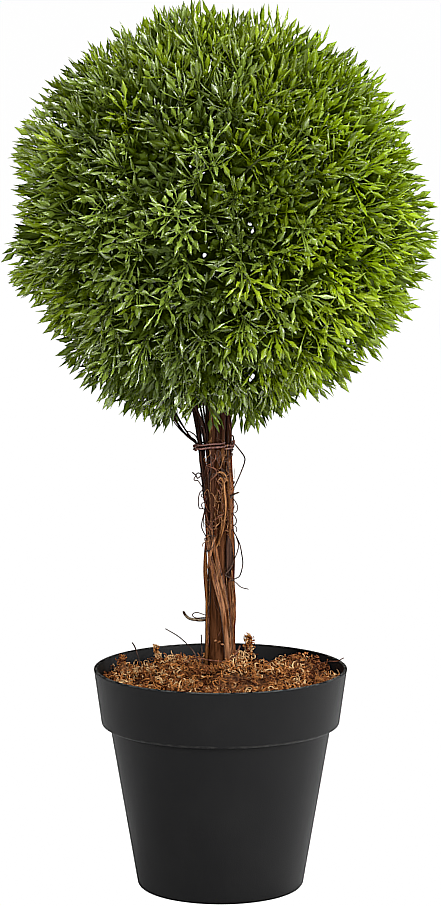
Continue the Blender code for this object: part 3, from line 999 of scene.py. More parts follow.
    def build_curls(self, rng: np.random.Generator) -> None:
        """Makes the loose curls, one piece for each colour. A clump's fibres share a tone, give or take one."""
        places, spreads = self.clump_places(rng)
        middles = np.repeat(places, self.fibres, axis=0)
        scale = np.where(np.arange(len(middles)) < self.clumps * self.fibres, 1.0, self.tuft_curl)
        paths = self.curl_paths(middles, np.repeat(spreads, self.fibres), scale, rng)
        count, rings, _ = paths.shape
        thick = rng.uniform(0.00023, 0.00050, (count, 1))
        taper = np.sin(np.linspace(0.35, math.pi - 0.35, rings))[None] ** 0.6
        side, up = carried_frames(paths)
        tone = np.repeat(rng.normal(1.55, 0.65, len(places)), self.fibres) + rng.normal(0, 0.75, count)
        # Painted light and shade: curls that stand higher over the bed are paler, those sunk into it darker.
        tone = tone + np.minimum(1.0, 120 * (middles[:, 2] - self.height(middles[:, 0], middles[:, 1])))
        # Painted shadow: curls towards the pot's right wall are darker. The tufts' curls are a little darker in tone.
        tone = tone - 7 * np.maximum(0.0, middles[:, 0] - 0.012) - 0.6 * (scale < 1)
        # Painted shade: curls in the hollow right of the trunk are darker.
        hollow_shade = np.exp(-(((middles[:, 0] - 0.029) / 0.008) ** 2)) * smooth((middles[:, 1] + 0.002) / 0.008)
        tone = tone - 2.6 * hollow_shade * (scale == 1)
        colour = np.clip(np.round(tone), 0, len(Moss) - 1).astype(int)
        for index, kind in enumerate(Moss):
            of_kind = colour == index
            piece = swept(
                paths[of_kind],
                side[of_kind],
                up[of_kind],
                (1.3 * thick * taper)[of_kind],
                (0.75 * thick * taper)[of_kind],
                3,
            ).to_object(kind.value.name + "_curls", kind.value)
            settle(piece, "moss")

    def build_strands(self) -> None:
        """Makes the longer strands and twigs that lie on the moss or stand out of it."""
        strands = {
            "moss_twig_left": ([(-37.9, -8, 182.6), (-27.8, -13, 177.3), (-19.5, -14, 169.0), (-15.0, -14, 161.0)], 0.42),
            "moss_spike": ([(-13.3, -4, 177.6), (-13.1, -4, 172.9), (-12.8, -4, 165.0), (-12.6, -4, 158.0)], 0.45),
            "moss_strand_front": ([(-26, -16, 160.0), (-17, -17, 163.6), (-7, -17.5, 162.4), (3, -18, 161.4)], 0.42),
            "moss_strand_trunk": ([(2, -17, 161.5), (7, -17, 162.6), (11, -15, 167.0), (13.2, -12, 171.0)], 0.60),
            "moss_twig_back": ([(-61.9, 30, 165.5), (-60.0, 30, 162.5), (-57.7, 29, 155.5), (-56.0, 28, 149.0)], 0.55),
            "moss_strand_right": ([(66, 14, 153.0), (75, 7, 156.6), (80.5, 3, 157.6), (85.0, 0, 160.4)], 0.34),
        }
        for name, (knots, thick) in strands.items():
            path = through(np.array(knots) / 1000, 28)[None]
            radii = np.linspace(0.75, 1.0, 28)[None] * thick / 1000
            finish = TENDRIL if "strand" not in name else RED_TENDRIL
            settle(round_limbs(path, radii, 7, pointed=True).to_object(name, finish), "moss")

    def build(self, rng: np.random.Generator) -> None:
        """Makes the bed, the curls and the strands."""
        bed = self.bed().to_object("moss_bed", MOSS_BED)
        settle(bed, "moss", "moss")
        self.build_curls(rng)
        self.build_strands()


# The bundle of stems


def main_radius(z: Array) -> Array:
    """The main stem's radius: a straight taper, plus a flare where it leaves the moss."""
    share = (z - STEM_FOOT_Z) / (STEM_TOP_Z - STEM_FOOT_Z)
    return 0.0066 - 0.0020 * share + 0.0007 * (1 - smooth((z - 0.145) / 0.030))


def main_centre(z: Array) -> Array:
    """The main stem's middle line, which bows to the left by a fraction of a millimetre."""
    share = (z - STEM_FOOT_Z) / (STEM_TOP_Z - STEM_FOOT_Z)
    x = -0.0014 - 0.0004 * np.sin(math.pi * share)
    return np.stack([x, np.zeros_like(z), z], -1)


@dataclass(frozen=True)
class Strand:
    """A stem that lies against the main stem and turns round it as it climbs, by the rule of the solid one.

    turns are its bearing at the foot and at the top in degrees, -90 being the front and 0 the right. It turns
    between the two heights in span, where it also bows out by bow. radii are its own at its foot and its top.
    From splay_from up it leans away to the left, by splay at the top.
    """

    name: str
    turns: tuple[float, float]
    span: tuple[float, float]
    radii: tuple[float, float]
    finish: BarkFinish
    slot: str = "bark"
    foot: float = STEM_FOOT_Z
    top: float = STEM_TOP_Z
    splay: float = 0.0
    bow: float = 0.0
    splay_from: float = 0.272
    solid: bool = True

    def radius(self, z: Array) -> Array:
        """The straight taper from the foot's radius to the top's."""
        return self.radii[0] + (self.radii[1] - self.radii[0]) * (z - self.foot) / (self.top - self.foot)

    def centre(self, z: Array) -> Array:
        """The middle line: the main stem's, plus both radii along the bearing, plus the bow, less the splay."""
        low, high = self.span
        share = np.clip((z - low) / (high - low), 0, 1)
        turn = np.radians(self.turns[0] + (self.turns[1] - self.turns[0]) * smooth(share))
        away = main_radius(z) + 0.0002 + self.radius(z) + self.bow * np.sin(math.pi * share)
        lean = np.maximum(0.0, (z - self.splay_from) / (STEM_TOP_Z - self.splay_from)) ** 1.3
        bearing = np.stack([np.cos(turn), np.sin(turn), np.zeros_like(z)], -1)
        return main_centre(z) + away[:, None] * bearing - np.array([self.splay, 0, 0]) * lean[:, None]


@dataclass
class Bundle:
    """The trunk: a thick dried stem with thinner stems and vines twisted round it, and fibres peeling off them."""

    rings: int = 230
    peelings: int = 90
    strands: tuple[Strand, ...] = (
        Strand("stem_right", (30, -12), (0.165, 0.290), (0.0045, 0.0019), RED_BARK),
        Strand("stem_back_right", (78, 62), (0.150, 0.300), (0.0032, 0.0026), DARK_BARK),
        Strand("stem_back_left", (126, 108), (0.150, 0.280), (0.0034, 0.0027), DARK_BARK),
        Strand("stem_rear_thin", (159, 141), (0.150, 0.250), (0.0013, 0.0010), BROWN_BARK),
        Strand("stem_left", (187, 159), (0.195, 0.266), (0.0021, 0.0007), BROWN_BARK, top=0.268, bow=0.0022),
        Strand("vine_left", (-43, -176), (0.168, 0.272), (0.0020, 0.0016), VINE_BARK, "pale_bark", splay=0.014),
        Strand("vine_right", (-9, -124), (0.165, 0.262), (0.0018, 0.0015), VINE_BARK, "pale_bark"),
        Strand("vine_pale", (-84, -58), (0.240, 0.262), (0.0007, 0.0016), BROWN_BARK, "pale_bark", foot=0.240),
        Strand(
            "stem_left_upper", (172, 170), (0.26, 0.30), (0.0011, 0.0019), BLACK_BARK, foot=0.262, splay=0.001, solid=False
        ),
    )
    thin: dict[str, tuple[list[tuple[float, float, float]], float, BarkFinish]] = field(
        default_factory=lambda: {
            "vine_bright": (
                [
                    (-2.6, -8.6, 239.5), (0.2, -9.3, 247.3), (2.4, -9.5, 255.3), (3.5, -9.5, 265.0), (3.5, -9.4, 272.1),
                    (2.8, -9.3, 279.6), (2.0, -9.1, 284.4), (0.2, -8.8, 287.5), (-1.5, -8.3, 285.8),
                ],
                0.62,
                PALE_BARK,
            ),
            "vine_tan": (
                [
                    (5.0, -6.7, 287.8), (5.4, -7.2, 283.7), (5.9, -7.3, 271.8), (6.3, -7.3, 258.5), (6.7, -7.1, 245.2),
                ],
                0.8,
                TAN_BARK,
            ),
            "vine_hook": (
                [(-4.0, -7.6, 288.5), (-2.2, -8.9, 291.0), (0.6, -9.3, 291.6), (3.2, -8.9, 289.6), (4.6, -8.0, 286.0)],
                0.48,
                PALE_BARK,
            ),
            "stem_olive": ([(-6.5, -5.3, 303), (-6.4, -5.5, 314), (-6.2, -5.3, 328), (-5.6, -4.6, 346)], 1.6, TAN_BARK),
            "stem_tan": ([(1.8, -5.7, 303), (1.6, -5.9, 314), (1.3, -5.7, 328), (1.0, -5.2, 346)], 0.95, BROWN_BARK),
            "vine_cross": (
                [(-8.6, -4.6, 224), (-7.4, -6.4, 232), (-5.2, -7.9, 241), (-3.4, -8.6, 249), (-3.6, -8.2, 258)],
                0.85,
                VINE_BARK,
            ),
            "stem_left_edge": (
                [(-9.6, -2.0, 156), (-9.8, -2.3, 185), (-9.6, -2.7, 205), (-9.9, -2.3, 225), (-10.2, -1.6, 240)],
                0.85,
                BROWN_BARK,
            ),
        }
    )

    def relief(self, z: Array, sides: int, depth: float, rng: np.random.Generator) -> Array:
        """How far bark stands out, as a factor on the radius.

        The sum of a few waves round the stem, each a sine of its count times the angle plus a phase that wanders
        with the height, plus slow swellings along it.
        """
        turn = (math.tau * np.arange(sides) / sides)[None]
        raised = np.zeros((len(z), sides))
        for waves, share in ((2, 0.8), (3, 0.9), (5, 0.7), (8, 0.45)):
            wander = rng.uniform(0, math.tau) + 1.3 * np.sin(z * rng.uniform(40, 110) + rng.uniform(0, 6))
            wander = wander + 0.6 * np.sin(z * rng.uniform(200, 420))
            raised += share * np.sin(waves * turn + wander[:, None])
        swell = np.sin(z * rng.uniform(90, 160) + rng.uniform(0, 6)) * np.sin(z * rng.uniform(30, 60))
        return 1 + depth * (0.5 * raised + 0.8 * swell[:, None])

    def stem(self, path: Array, radii: Array, depth: float, sides: int, rng: np.random.Generator) -> Surface:
        """One stem with bark relief."""
        ridged = radii[:, None] * self.relief(path[:, 2], sides, depth, rng)
        return round_limbs(path[None], ridged[None], sides)

    def build_stems(self, rng: np.random.Generator) -> None:
        """Makes the main stem and the strands round it."""
        z = np.linspace(STEM_FOOT_Z, STEM_TOP_Z + 0.012, self.rings)
        trunk = self.stem(main_centre(z), main_radius(z), 0.085, 48, rng)
        settle(trunk.to_object("trunk_bark", DARK_BARK), "bark", "trunk")
        for strand in self.strands:
            z = np.linspace(strand.foot, strand.top, self.rings)
            sway = np.stack([np.sin(z * 150 + len(strand.name)), np.cos(z * 130 + strand.turns[0]), 0 * z], -1)
            path = strand.centre(z) + 0.00018 * sway
            piece = self.stem(path, strand.radius(z), 0.10, 20, rng)
            nodes = [strand.name] if strand.solid else []
            settle(piece.to_object(strand.name + "_bark", strand.finish), strand.slot, *nodes)

    def build_thin(self, rng: np.random.Generator) -> None:
        """Makes the thin vines that lie on the others, each tapering at both ends."""
        for name, (knots, thick, finish) in self.thin.items():
            path = through(np.array(knots) / 1000, 90)
            ends = 1 - 0.45 * np.abs(np.linspace(-1, 1, 90)) ** 6
            ridged = (thick / 1000 * ends)[:, None] * self.relief(path[:, 2], 12, 0.08, rng)
            settle(round_limbs(path[None], ridged[None], 12).to_object(name, finish), "pale_bark")

    def build_peelings(self, rng: np.random.Generator) -> None:
        """Makes loose fibres of bark.

        A fibre follows its limb's middle line, out along its bearing by the limb's radius plus a lift of sin(pi s),
        and the bearing swings by a sine of s, where s runs from 0 to 1 along it.
        """
        limbs = [(main_centre, main_radius, STEM_TOP_Z)]
        limbs += [(strand.centre, strand.radius, strand.top) for strand in self.strands if strand.foot < 0.1]
        paths, share = [], np.linspace(0, 1, 22)
        for index in range(self.peelings):
            centre, radius, top = limbs[index % len(limbs)]
            low = rng.uniform(0.160, min(top, 0.330) - 0.030)
            z = low + rng.uniform(0.012, 0.050) * share
            z = np.minimum(z, top)
            bearing = rng.uniform(1.06, 1.86) * math.pi + rng.uniform(0.1, 0.6) * np.sin(rng.uniform(1, 5) * share)
            away = radius(z) * 1.04 + rng.uniform(0.0001, 0.0009) * np.sin(math.pi * share) ** 2
            paths.append(centre(z) + away[:, None] * np.stack([np.cos(bearing), np.sin(bearing), 0 * z], -1))
        paths = np.array(paths)
        radii = rng.uniform(0.00012, 0.00030, (len(paths), 1)) * np.ones((1, len(share)))
        finishes = (RED_TENDRIL, TAN_TENDRIL, TENDRIL)
        kind = rng.choice(3, len(paths), p=[0.42, 0.30, 0.28])
        for index, finish in enumerate(finishes):
            fibres = round_limbs(paths[kind == index], radii[kind == index], 5, pointed=True)
            settle(fibres.to_object("bark_fibres_" + finish.name, finish), "bark")

    def build_flakes(self) -> None:
        """Makes the dark bare face on the right stem and the pale flake at the foot, as flat limbs."""
        face = through(np.array([(5.0, -4.6, 248), (5.9, -4.9, 240), (6.2, -5.0, 232), (5.8, -4.9, 224), (5.2, -4.4, 217)]) / 1000, 40)
        swell = np.sin(np.linspace(0.12, math.pi - 0.12, 40))
        dark = flat_limb(face, 0.0026 * swell, 0.0006 * swell, np.array([0.1, -1.0, 0.0]), 10)
        settle(dark.to_object("bare_face", BLACK_BARK), "bark")
        knots = [
            (-4.2, -7.8, 173.7), (-2.8, -8.4, 174.5), (-1.8, -8.7, 173.0), (-0.3, -8.9, 174.0), (0.6, -8.9, 171.9),
            (2.1, -8.8, 171.6), (2.9, -8.6, 170.4),
        ]
        flake = through(np.array(knots) / 1000, 50)
        swell = 0.55 + 0.45 * np.sin(np.linspace(0.0, 19.0, 50))
        pale = flat_limb(flake, 0.00062 * swell, 0.00036 * swell, np.array([0.0, -1.0, 0.2]), 8)
        settle(pale.to_object("pale_flake", VINE_BARK), "bark")

    def build(self, rng: np.random.Generator) -> None:
        """Makes the bundle."""
        self.build_stems(rng)
        self.build_thin(rng)
        self.build_peelings(rng)
        self.build_flakes()

    def limbs_at(self, z: float) -> tuple[Array, Array]:
        """The middles and radii of the limbs that pass a height."""
        height = np.array([z])
        passing = [strand for strand in self.strands if strand.foot < z < strand.top]
        centres = [main_centre(height)] + [strand.centre(height) for strand in passing]
        radii = [main_radius(height)] + [strand.radius(height) for strand in passing]
        return np.concatenate(centres), np.concatenate(radii)


@dataclass
class Boughs:
    """The thin dark boughs that leave the bundle at the tie and reach up into the ball."""

    routes: dict[str, tuple[list[tuple[float, float, float]], float]] = field(
        default_factory=lambda: {
            "bough_low": ([(-11.9, 2.6, 282), (-13.6, 3.3, 296.0), (-15.9, 3.6, 308.6), (-28.2, 4.0, 321.5), (-50, 3.5, 362)], 1.0),
            "bough_low_thin": ([(-11.4, -3.0, 283), (-13.2, -3.7, 297.0), (-15.4, -4.2, 308.8), (-25.6, -6.0, 323.0), (-45, -9, 361)], 0.7),
            "bough_front": ([(-7.4, -4.2, 274), (-8.3, -4.9, 291.0), (-9.2, -6.0, 305.0), (-14.0, -9.0, 330.0), (-29, -19, 357)], 0.9),
            "bough_rear": ([(-10.2, 5.4, 270), (-12.1, 6.4, 287.0), (-13.2, 7.4, 304.0), (-17.0, 9.6, 328.0), (-30, 17, 357)], 1.7),
        }
    )
    thin_routes: dict[str, tuple[list[tuple[float, float, float]], float]] = field(
        default_factory=lambda: {
            "bough_thick_left": ([(-11.6, -2, 286), (-12.8, -2, 300), (-14.0, -3, 309), (-16.0, -4, 321), (-20, -6, 340), (-27, -8, 362)], 1.35),
            "bough_mid_left": ([(-11.2, -4, 302), (-11.2, -5, 312), (-12.9, -6, 321), (-15.4, -7, 333), (-19, -9, 358)], 0.75),
            "bough_mid_right": ([(-8.6, -4, 303), (-9.3, -5, 315), (-10.2, -6, 325), (-11.6, -6, 336), (-13, -7, 358)], 0.80),
            "bough_low_third": ([(-14.4, 2, 303), (-16.6, 3, 311), (-20.6, 3, 314.4), (-28.5, 3, 320.2), (-46, 5, 345)], 0.45),
            "bough_low_fourth": ([(-14.6, -3, 310), (-17.1, -4, 316), (-20.4, -4, 318.6), (-25.6, -4, 322.2), (-44, -5, 350)], 0.40),
            "bough_back_left": ([(-9.0, 5, 300), (-10.5, 7, 315), (-13.0, 10, 330), (-20, 15, 358)], 0.90),
        }
    )
    rings: int = 48

    def path(self, name: str) -> Array:
        """The smooth route of one bough."""
        return through(np.array(self.routes[name][0]) / 1000, self.rings)

    def build(self) -> None:
        """Makes each bough, tapering to three quarters of its thickness."""
        taper = np.linspace(1.0, 0.75, self.rings)
        wave = 1 + 0.10 * np.sin(np.linspace(0, 26, self.rings)) * np.sin(np.linspace(0, 9, self.rings))
        for name, (_, thick) in self.routes.items():
            radii = (thick / 1000 * taper * wave)[None]
            piece = round_limbs(self.path(name)[None], radii, 10).to_object(name + "_bark", BLACK_BARK)
            settle(piece, "bark", name)
        for name, (knots, thick) in self.thin_routes.items():
            path = through(np.array(knots) / 1000, self.rings)[None]
            settle(round_limbs(path, (thick / 1000 * taper * wave)[None], 8).to_object(name, BLACK_BARK), "bark")


@dataclass
class Tie:
    """The wire wound twice round the bundle under the ball, with its bent ends."""

    z: float = 0.3086
    rise: float = 0.0021
    radius: float = 0.0007
    turns: int = 2
    steps: int = 72
    pitch: float = 0.0024
    ends: tuple[tuple[tuple[float, float, float], ...], ...] = (
        ((-14.6, -5.0, 309.9), (-16.6, -4.2, 309.9), (-18.3, -3.0, 309.2), (-18.2, -2.2, 308.0), (-16.2, -3.2, 307.4), (-13.6, -5.6, 307.3)),
        ((7.6, -5.6, 311.8), (9.2, -5.6, 313.2), (9.3, -5.6, 310.9), (7.6, -5.8, 309.2), (6.3, -6.4, 310.2)),
    )

    def path(self, bundle: Bundle, boughs: Boughs) -> Array:
        """The wire's route.

        For each bearing n the wire lies on the limb whose middle c and radius r make c.n + r largest, at
        c + n (r + the wire's own radius), so it runs straight from limb to limb.
        """
        centres, radii = bundle.limbs_at(self.z)
        for name in boughs.routes:
            route = boughs.path(name)
            nearest = route[np.argmin(np.abs(route[:, 2] - self.z))]
            centres = np.vstack([centres, nearest])
            radii = np.append(radii, boughs.routes[name][1] / 1000 * 1.2)
        step = np.arange(self.steps * self.turns + 1)
        turn = math.tau * step / self.steps - math.radians(60)
        bearing = np.stack([np.cos(turn), np.sin(turn), 0 * turn], -1)
        outmost = np.argmax(bearing @ centres.T + radii, axis=1)
        path = centres[outmost] + bearing * (radii[outmost] + self.radius + 0.0003)[:, None]
        path[:, 2] = self.z + self.pitch * (step / self.steps - 0.5 * self.turns) + self.rise * bearing[:, 0]
        return path

    def build(self, bundle: Bundle, boughs: Boughs) -> None:
        """Makes the wire and its ends."""
        path = self.path(bundle, boughs)
        for _ in range(2):
            path[1:-1] = 0.25 * path[:-2] + 0.5 * path[1:-1] + 0.25 * path[2:]
        radii = np.full((1, len(path)), self.radius)
        settle(round_limbs(path[None], radii, 10).to_object("tie_wire", WIRE), "wire", "wire_tie")
        for index, knots in enumerate(self.ends):
            path = through(np.array(knots) / 1000, 60)[None]
            piece = round_limbs(path, np.full((1, 60), self.radius * 0.85), 8).to_object(f"tie_end_{index + 1}", WIRE)
            settle(piece, "wire")


@dataclass
class Tendrils:
    """The wiry tendrils that curl off the bundle, the cut stub at the left, and the tangle under the tie.
    """

    solid_routes: dict[str, list[tuple[float, float, float]]] = field(
        default_factory=lambda: {
            "tendril_top_right": [
                (6.0, -3, 316.9), (8.6, -3.4, 315.6), (8.9, -3.6, 312.5), (9.4, -3.7, 310.7), (13.0, -3.7, 306.3),
                (16.3, -3.6, 301.5), (16.5, -3.5, 297.9), (13.9, -3.2, 290.4), (9.1, -2.8, 279.4),
            ],
            "tendril_left": [
                (-10.3, -3, 270.5), (-11.0, -4, 264.1), (-12.2, -4.4, 258.8), (-12.9, -4.6, 254.4),
                (-12.5, -4.6, 251.3), (-10.3, -4.4, 246.8), (-8.2, -4.4, 241.5),
            ],
            "tendril_curl_left": [
                (-19.3, -2.6, 290.6), (-16.7, -2.6, 288.2), (-15.8, -2.6, 286.4), (-13.6, -2.4, 288.2),
                (-14.5, -2.2, 290.0), (-16.3, -2.0, 289.5), (-17.1, -2.2, 287.8), (-18.2, -2.4, 285.8),
                (-17.1, -2.6, 284.7), (-15.4, -2.8, 284.7), (-11.9, -3, 279.4), (-9.6, -3, 276.0),
            ],
            "tendril_right": [
                (8.4, -4, 251.5), (9.4, -4, 249.1), (11.6, -4, 244.6), (13.4, -4, 240.2), (14.7, -4.2, 233.5),
                (15.3, -4.6, 226.9), (13.4, -5, 219.4), (10.7, -6, 217.4), (8.0, -6, 216.1), (6.0, -5.2, 215.0),
            ],
        }
    )
    fine_routes: dict[str, list[tuple[float, float, float]]] = field(
        default_factory=lambda: {
            "tendril_knot_right": [
                (5.6, -5, 307.4), (6.9, -5, 306.5), (8.8, -5.2, 307.0), (7.3, -5.4, 304.7), (8.3, -5.2, 303.4), (6.4, -5, 302.3),
            ],
            "tendril_loop_left": [
                (-10.6, -3, 279.5), (-12.6, -3.2, 278.1), (-14.4, -3.2, 275.9), (-15.2, -3.2, 271.1), (-14.7, -3.2, 266.2),
                (-12.9, -3.2, 265.3), (-12.5, -3.2, 266.2), (-13.1, -3, 268.0), (-12.0, -3, 269.5), (-10.0, -3, 269.9),
            ],
            "tendril_ring_left": [
                (-9.8, -3, 274.3), (-12.0, -3.2, 273.3), (-13.1, -3.2, 274.4), (-12.5, -3, 275.5), (-10.2, -2.8, 275.3),
            ],
            "tendril_spur_left": [(-12.7, -3.4, 265.9), (-11.2, -3.8, 265.0), (-10.3, -4, 263.2), (-9.0, -4, 261.0)],
            "tendril_hook_right": [
                (6.6, -4, 276.0), (7.6, -4.2, 273.8), (9.8, -4.4, 271.2), (11.8, -4.4, 266.8), (10.7, -4.2, 263.3), (8.2, -4, 262.2),
            ],
            "tendril_rings_right": [
                (8.0, -4, 262.8), (9.4, -4.2, 261.0), (10.9, -4.2, 257.9), (10.3, -4.2, 254.8), (8.8, -4.2, 253.9),
                (10.2, -4.2, 253.3), (11.2, -4.2, 251.6), (10.7, -4.2, 249.4),
            ],
            "tendril_loop_right": [
                (10.9, -4.6, 246.0), (12.3, -7, 241.1), (11.6, -7, 236.3), (9.4, -7, 230.5), (7.2, -7, 225.1), (3.8, -7, 220.9),
                (3.7, -7, 219.5), (6.8, -7, 217.8), (10.7, -7, 214.5), (14.2, -7, 211.4), (19.1, -7, 210.0),
            ],
            "tendril_ring_stub": [
                (-10.0, -2, 189.4), (-16.5, -2.2, 189.0), (-19.1, -2.3, 190.4), (-18.7, -2.3, 192.2), (-16.1, -2.2, 192.8),
                (-12.5, -2, 191.7), (-10.0, -2, 190.8),
            ],
            "tendril_spur_right": [(8.0, -2.6, 284.5), (9.6, -3, 283.9), (8.8, -3, 282.6), (7.6, -2.6, 282.8)],
        }
    )
    stub: tuple[tuple[float, float, float], ...] = (
        (-9.4, -1.0, 187.6), (-13.6, -1.0, 187.3), (-16.9, -1.2, 187.5), (-21.3, -1.4, 188.4), (-24.0, -1.6, 190.6), (-25.4, -1.8, 193.0),
    )
    spur: tuple[tuple[float, float, float], ...] = ((6.6, -4.0, 272.8), (9.4, -4.2, 275.6), (12.3, -4.2, 276.8))
    tangle: int = 52

    def build_limb(self, name: str, knots: list, thick: float, finish: Finish, *nodes: str) -> None:
        """Makes one tendril through its knots, tapering a little."""
        count = 12 * len(knots)
        path = through(np.array(knots) / 1000, count)[None]
        radii = thick * np.linspace(1.0, 0.75, count)[None]
        settle(round_limbs(path, radii, 8, pointed=True).to_object(name, finish), "tendril", *nodes)

    def tangle_paths(self, rng: np.random.Generator) -> Array:
        """Fine fibres that hug the front of the bundle.

        A fibre lies at bearing b0 + b1 s + a sine of s and at height z0 + z1 s + another sine, one layer out from
        the stems, where s runs from 0 to 1 along it.
        """
        share = np.linspace(0, 1, 30)[None]
        count = self.tangle

        def draw(low: float, high: float) -> Array:
            """One seeded number a fibre."""
            return rng.uniform(low, high, (count, 1))

        bearing = draw(-165, -20) + draw(-60, 60) * share + draw(2, 22) * np.sin(draw(4, 13) * share + draw(0, 6))
        z = draw(0.248, 0.303) + draw(-0.024, 0.024) * share
        z = z + draw(0.0006, 0.0034) * np.sin(draw(5, 14) * share + draw(0, 6))
        away = 0.0094 + draw(0.0, 0.0016) + 0.0007 * np.sin(draw(4, 10) * share)
        turn = np.radians(bearing)
        return np.stack([-0.0012 + away * np.cos(turn), 0.92 * away * np.sin(turn), z], -1)

    def build(self, rng: np.random.Generator) -> None:
        """Makes the tendrils, the stub and the tangle."""
        for name, knots in self.solid_routes.items():
            thick = 0.00050 if "top" in name else 0.00042
            self.build_limb(name + "_fine", knots, thick, TENDRIL, name)
        for name, knots in self.fine_routes.items():
            self.build_limb(name, knots, 0.00036, TENDRIL)
        self.build_limb("stub_left_fine", list(self.stub), 0.0012, SPUR, "stub_left")
        self.build_limb("tendril_spur_olive", list(self.spur), 0.0007, SPUR)
        paths = self.tangle_paths(rng)
        radii = rng.uniform(0.00013, 0.00028, (self.tangle, 1)) * np.ones((1, paths.shape[1]))
        kind = rng.choice(3, self.tangle, p=[0.34, 0.40, 0.26])
        for index, finish in enumerate((TAN_TENDRIL, RED_TENDRIL, TENDRIL)):
            fibres = round_limbs(paths[kind == index], radii[kind == index], 6, pointed=True)
            settle(fibres.to_object("tangle_" + finish.name, finish), "tendril")


# The ball of foliage


@dataclass(frozen=True)
class LeafShape:
    """How a leaf changes along its length.

    At each station along it are the stalk's half width, the blade's share of its full half width, the half
    thickness, and how far the blade is folded along its rib.
    """

    stations: tuple[float, ...]
    stalk: tuple[float, ...]
    blade: tuple[float, ...]
    thick: tuple[float, ...]
    fold: tuple[float, ...]


FINE_LEAF = LeafShape(
    (0.0, 0.54, 0.71, 0.87),
    (0.00056, 0.00046, 0.00040, 0.00028),
    (0.0, 0.0, 1.0, 0.36),
    (0.00038, 0.00030, 0.00022, 0.00018),
    (0.0, 0.0, 1.0, 0.35),
)
PLAIN_LEAF = LeafShape(
    (0.0, 0.5),
    (0.00044, 0.00040),
    (0.0, 1.0),
    (0.00036, 0.00024),
    (0.0, 1.0),
)


@dataclass
class Leaves:
    """Many leaves as arrays, one row a leaf. A leaf is a thin stalk that opens into a lozenge with a long tip."""

    roots: Array
    ahead: Array
    face: Array
    lengths: Array
    widths: Array
    bends: Array
    folds: Array

    def chosen(self, mask: Array) -> "Leaves":
        """The leaves that the mask keeps."""
        columns = (self.roots, self.ahead, self.face, self.lengths, self.widths, self.bends, self.folds)
        return Leaves(*(column[mask] for column in columns))

    def points_at(self, share: Array) -> Array:
        """Points along each leaf: root + length (s ahead + bend s^2 face), for each share s."""
        span = self.lengths[:, None, None]
        share = share[None, :, None]
        bend = self.bends[:, None, None]
        return self.roots[:, None] + span * (share * self.ahead[:, None] + bend * share**2 * self.face[:, None])

    def surface(self, shape: LeafShape) -> Surface:
        """The leaves as closed four-sided blades: an edge at each side, and a rib above and below.

        The rib stands off the edges' plane by the fold, give or take the half thickness, so a blade is a thin V.
        """
        paths = self.points_at(np.array(shape.stations))
        tips = self.points_at(np.array([1.0]))[:, 0]
        ahead = unit(np.gradient(paths, axis=1))
        up = unit(self.face[:, None] - dot(self.face[:, None], ahead) * ahead)
        side = np.cross(up, ahead)
        widths = np.array(shape.stalk)[None] + np.array(shape.blade)[None] * self.widths[:, None]
        fold = np.array(shape.fold)[None] * (self.folds * self.widths)[:, None]
        heights = np.array(shape.thick)[None, :, None] + fold[..., None] * np.array([0.0, 1.0, 0.0, -1.0])
        return swept(paths, side, up, widths, heights, 4, tip=tips)


@dataclass
class Sprays:
    """Where sprays grow: their nodes, the way each points, their leaves' number and half widths, and their greens.

    A green is its number among the greens, times the number of casts, plus the number of its cast.
    """

    nodes: Array
    axes: Array
    leaves: int
    half_width: tuple[float, float]
    greens: Array

    def chosen(self, mask: Array) -> "Sprays":
        """The sprays that the mask keeps."""
        return Sprays(self.nodes[mask], self.axes[mask], self.leaves, self.half_width, self.greens[mask])


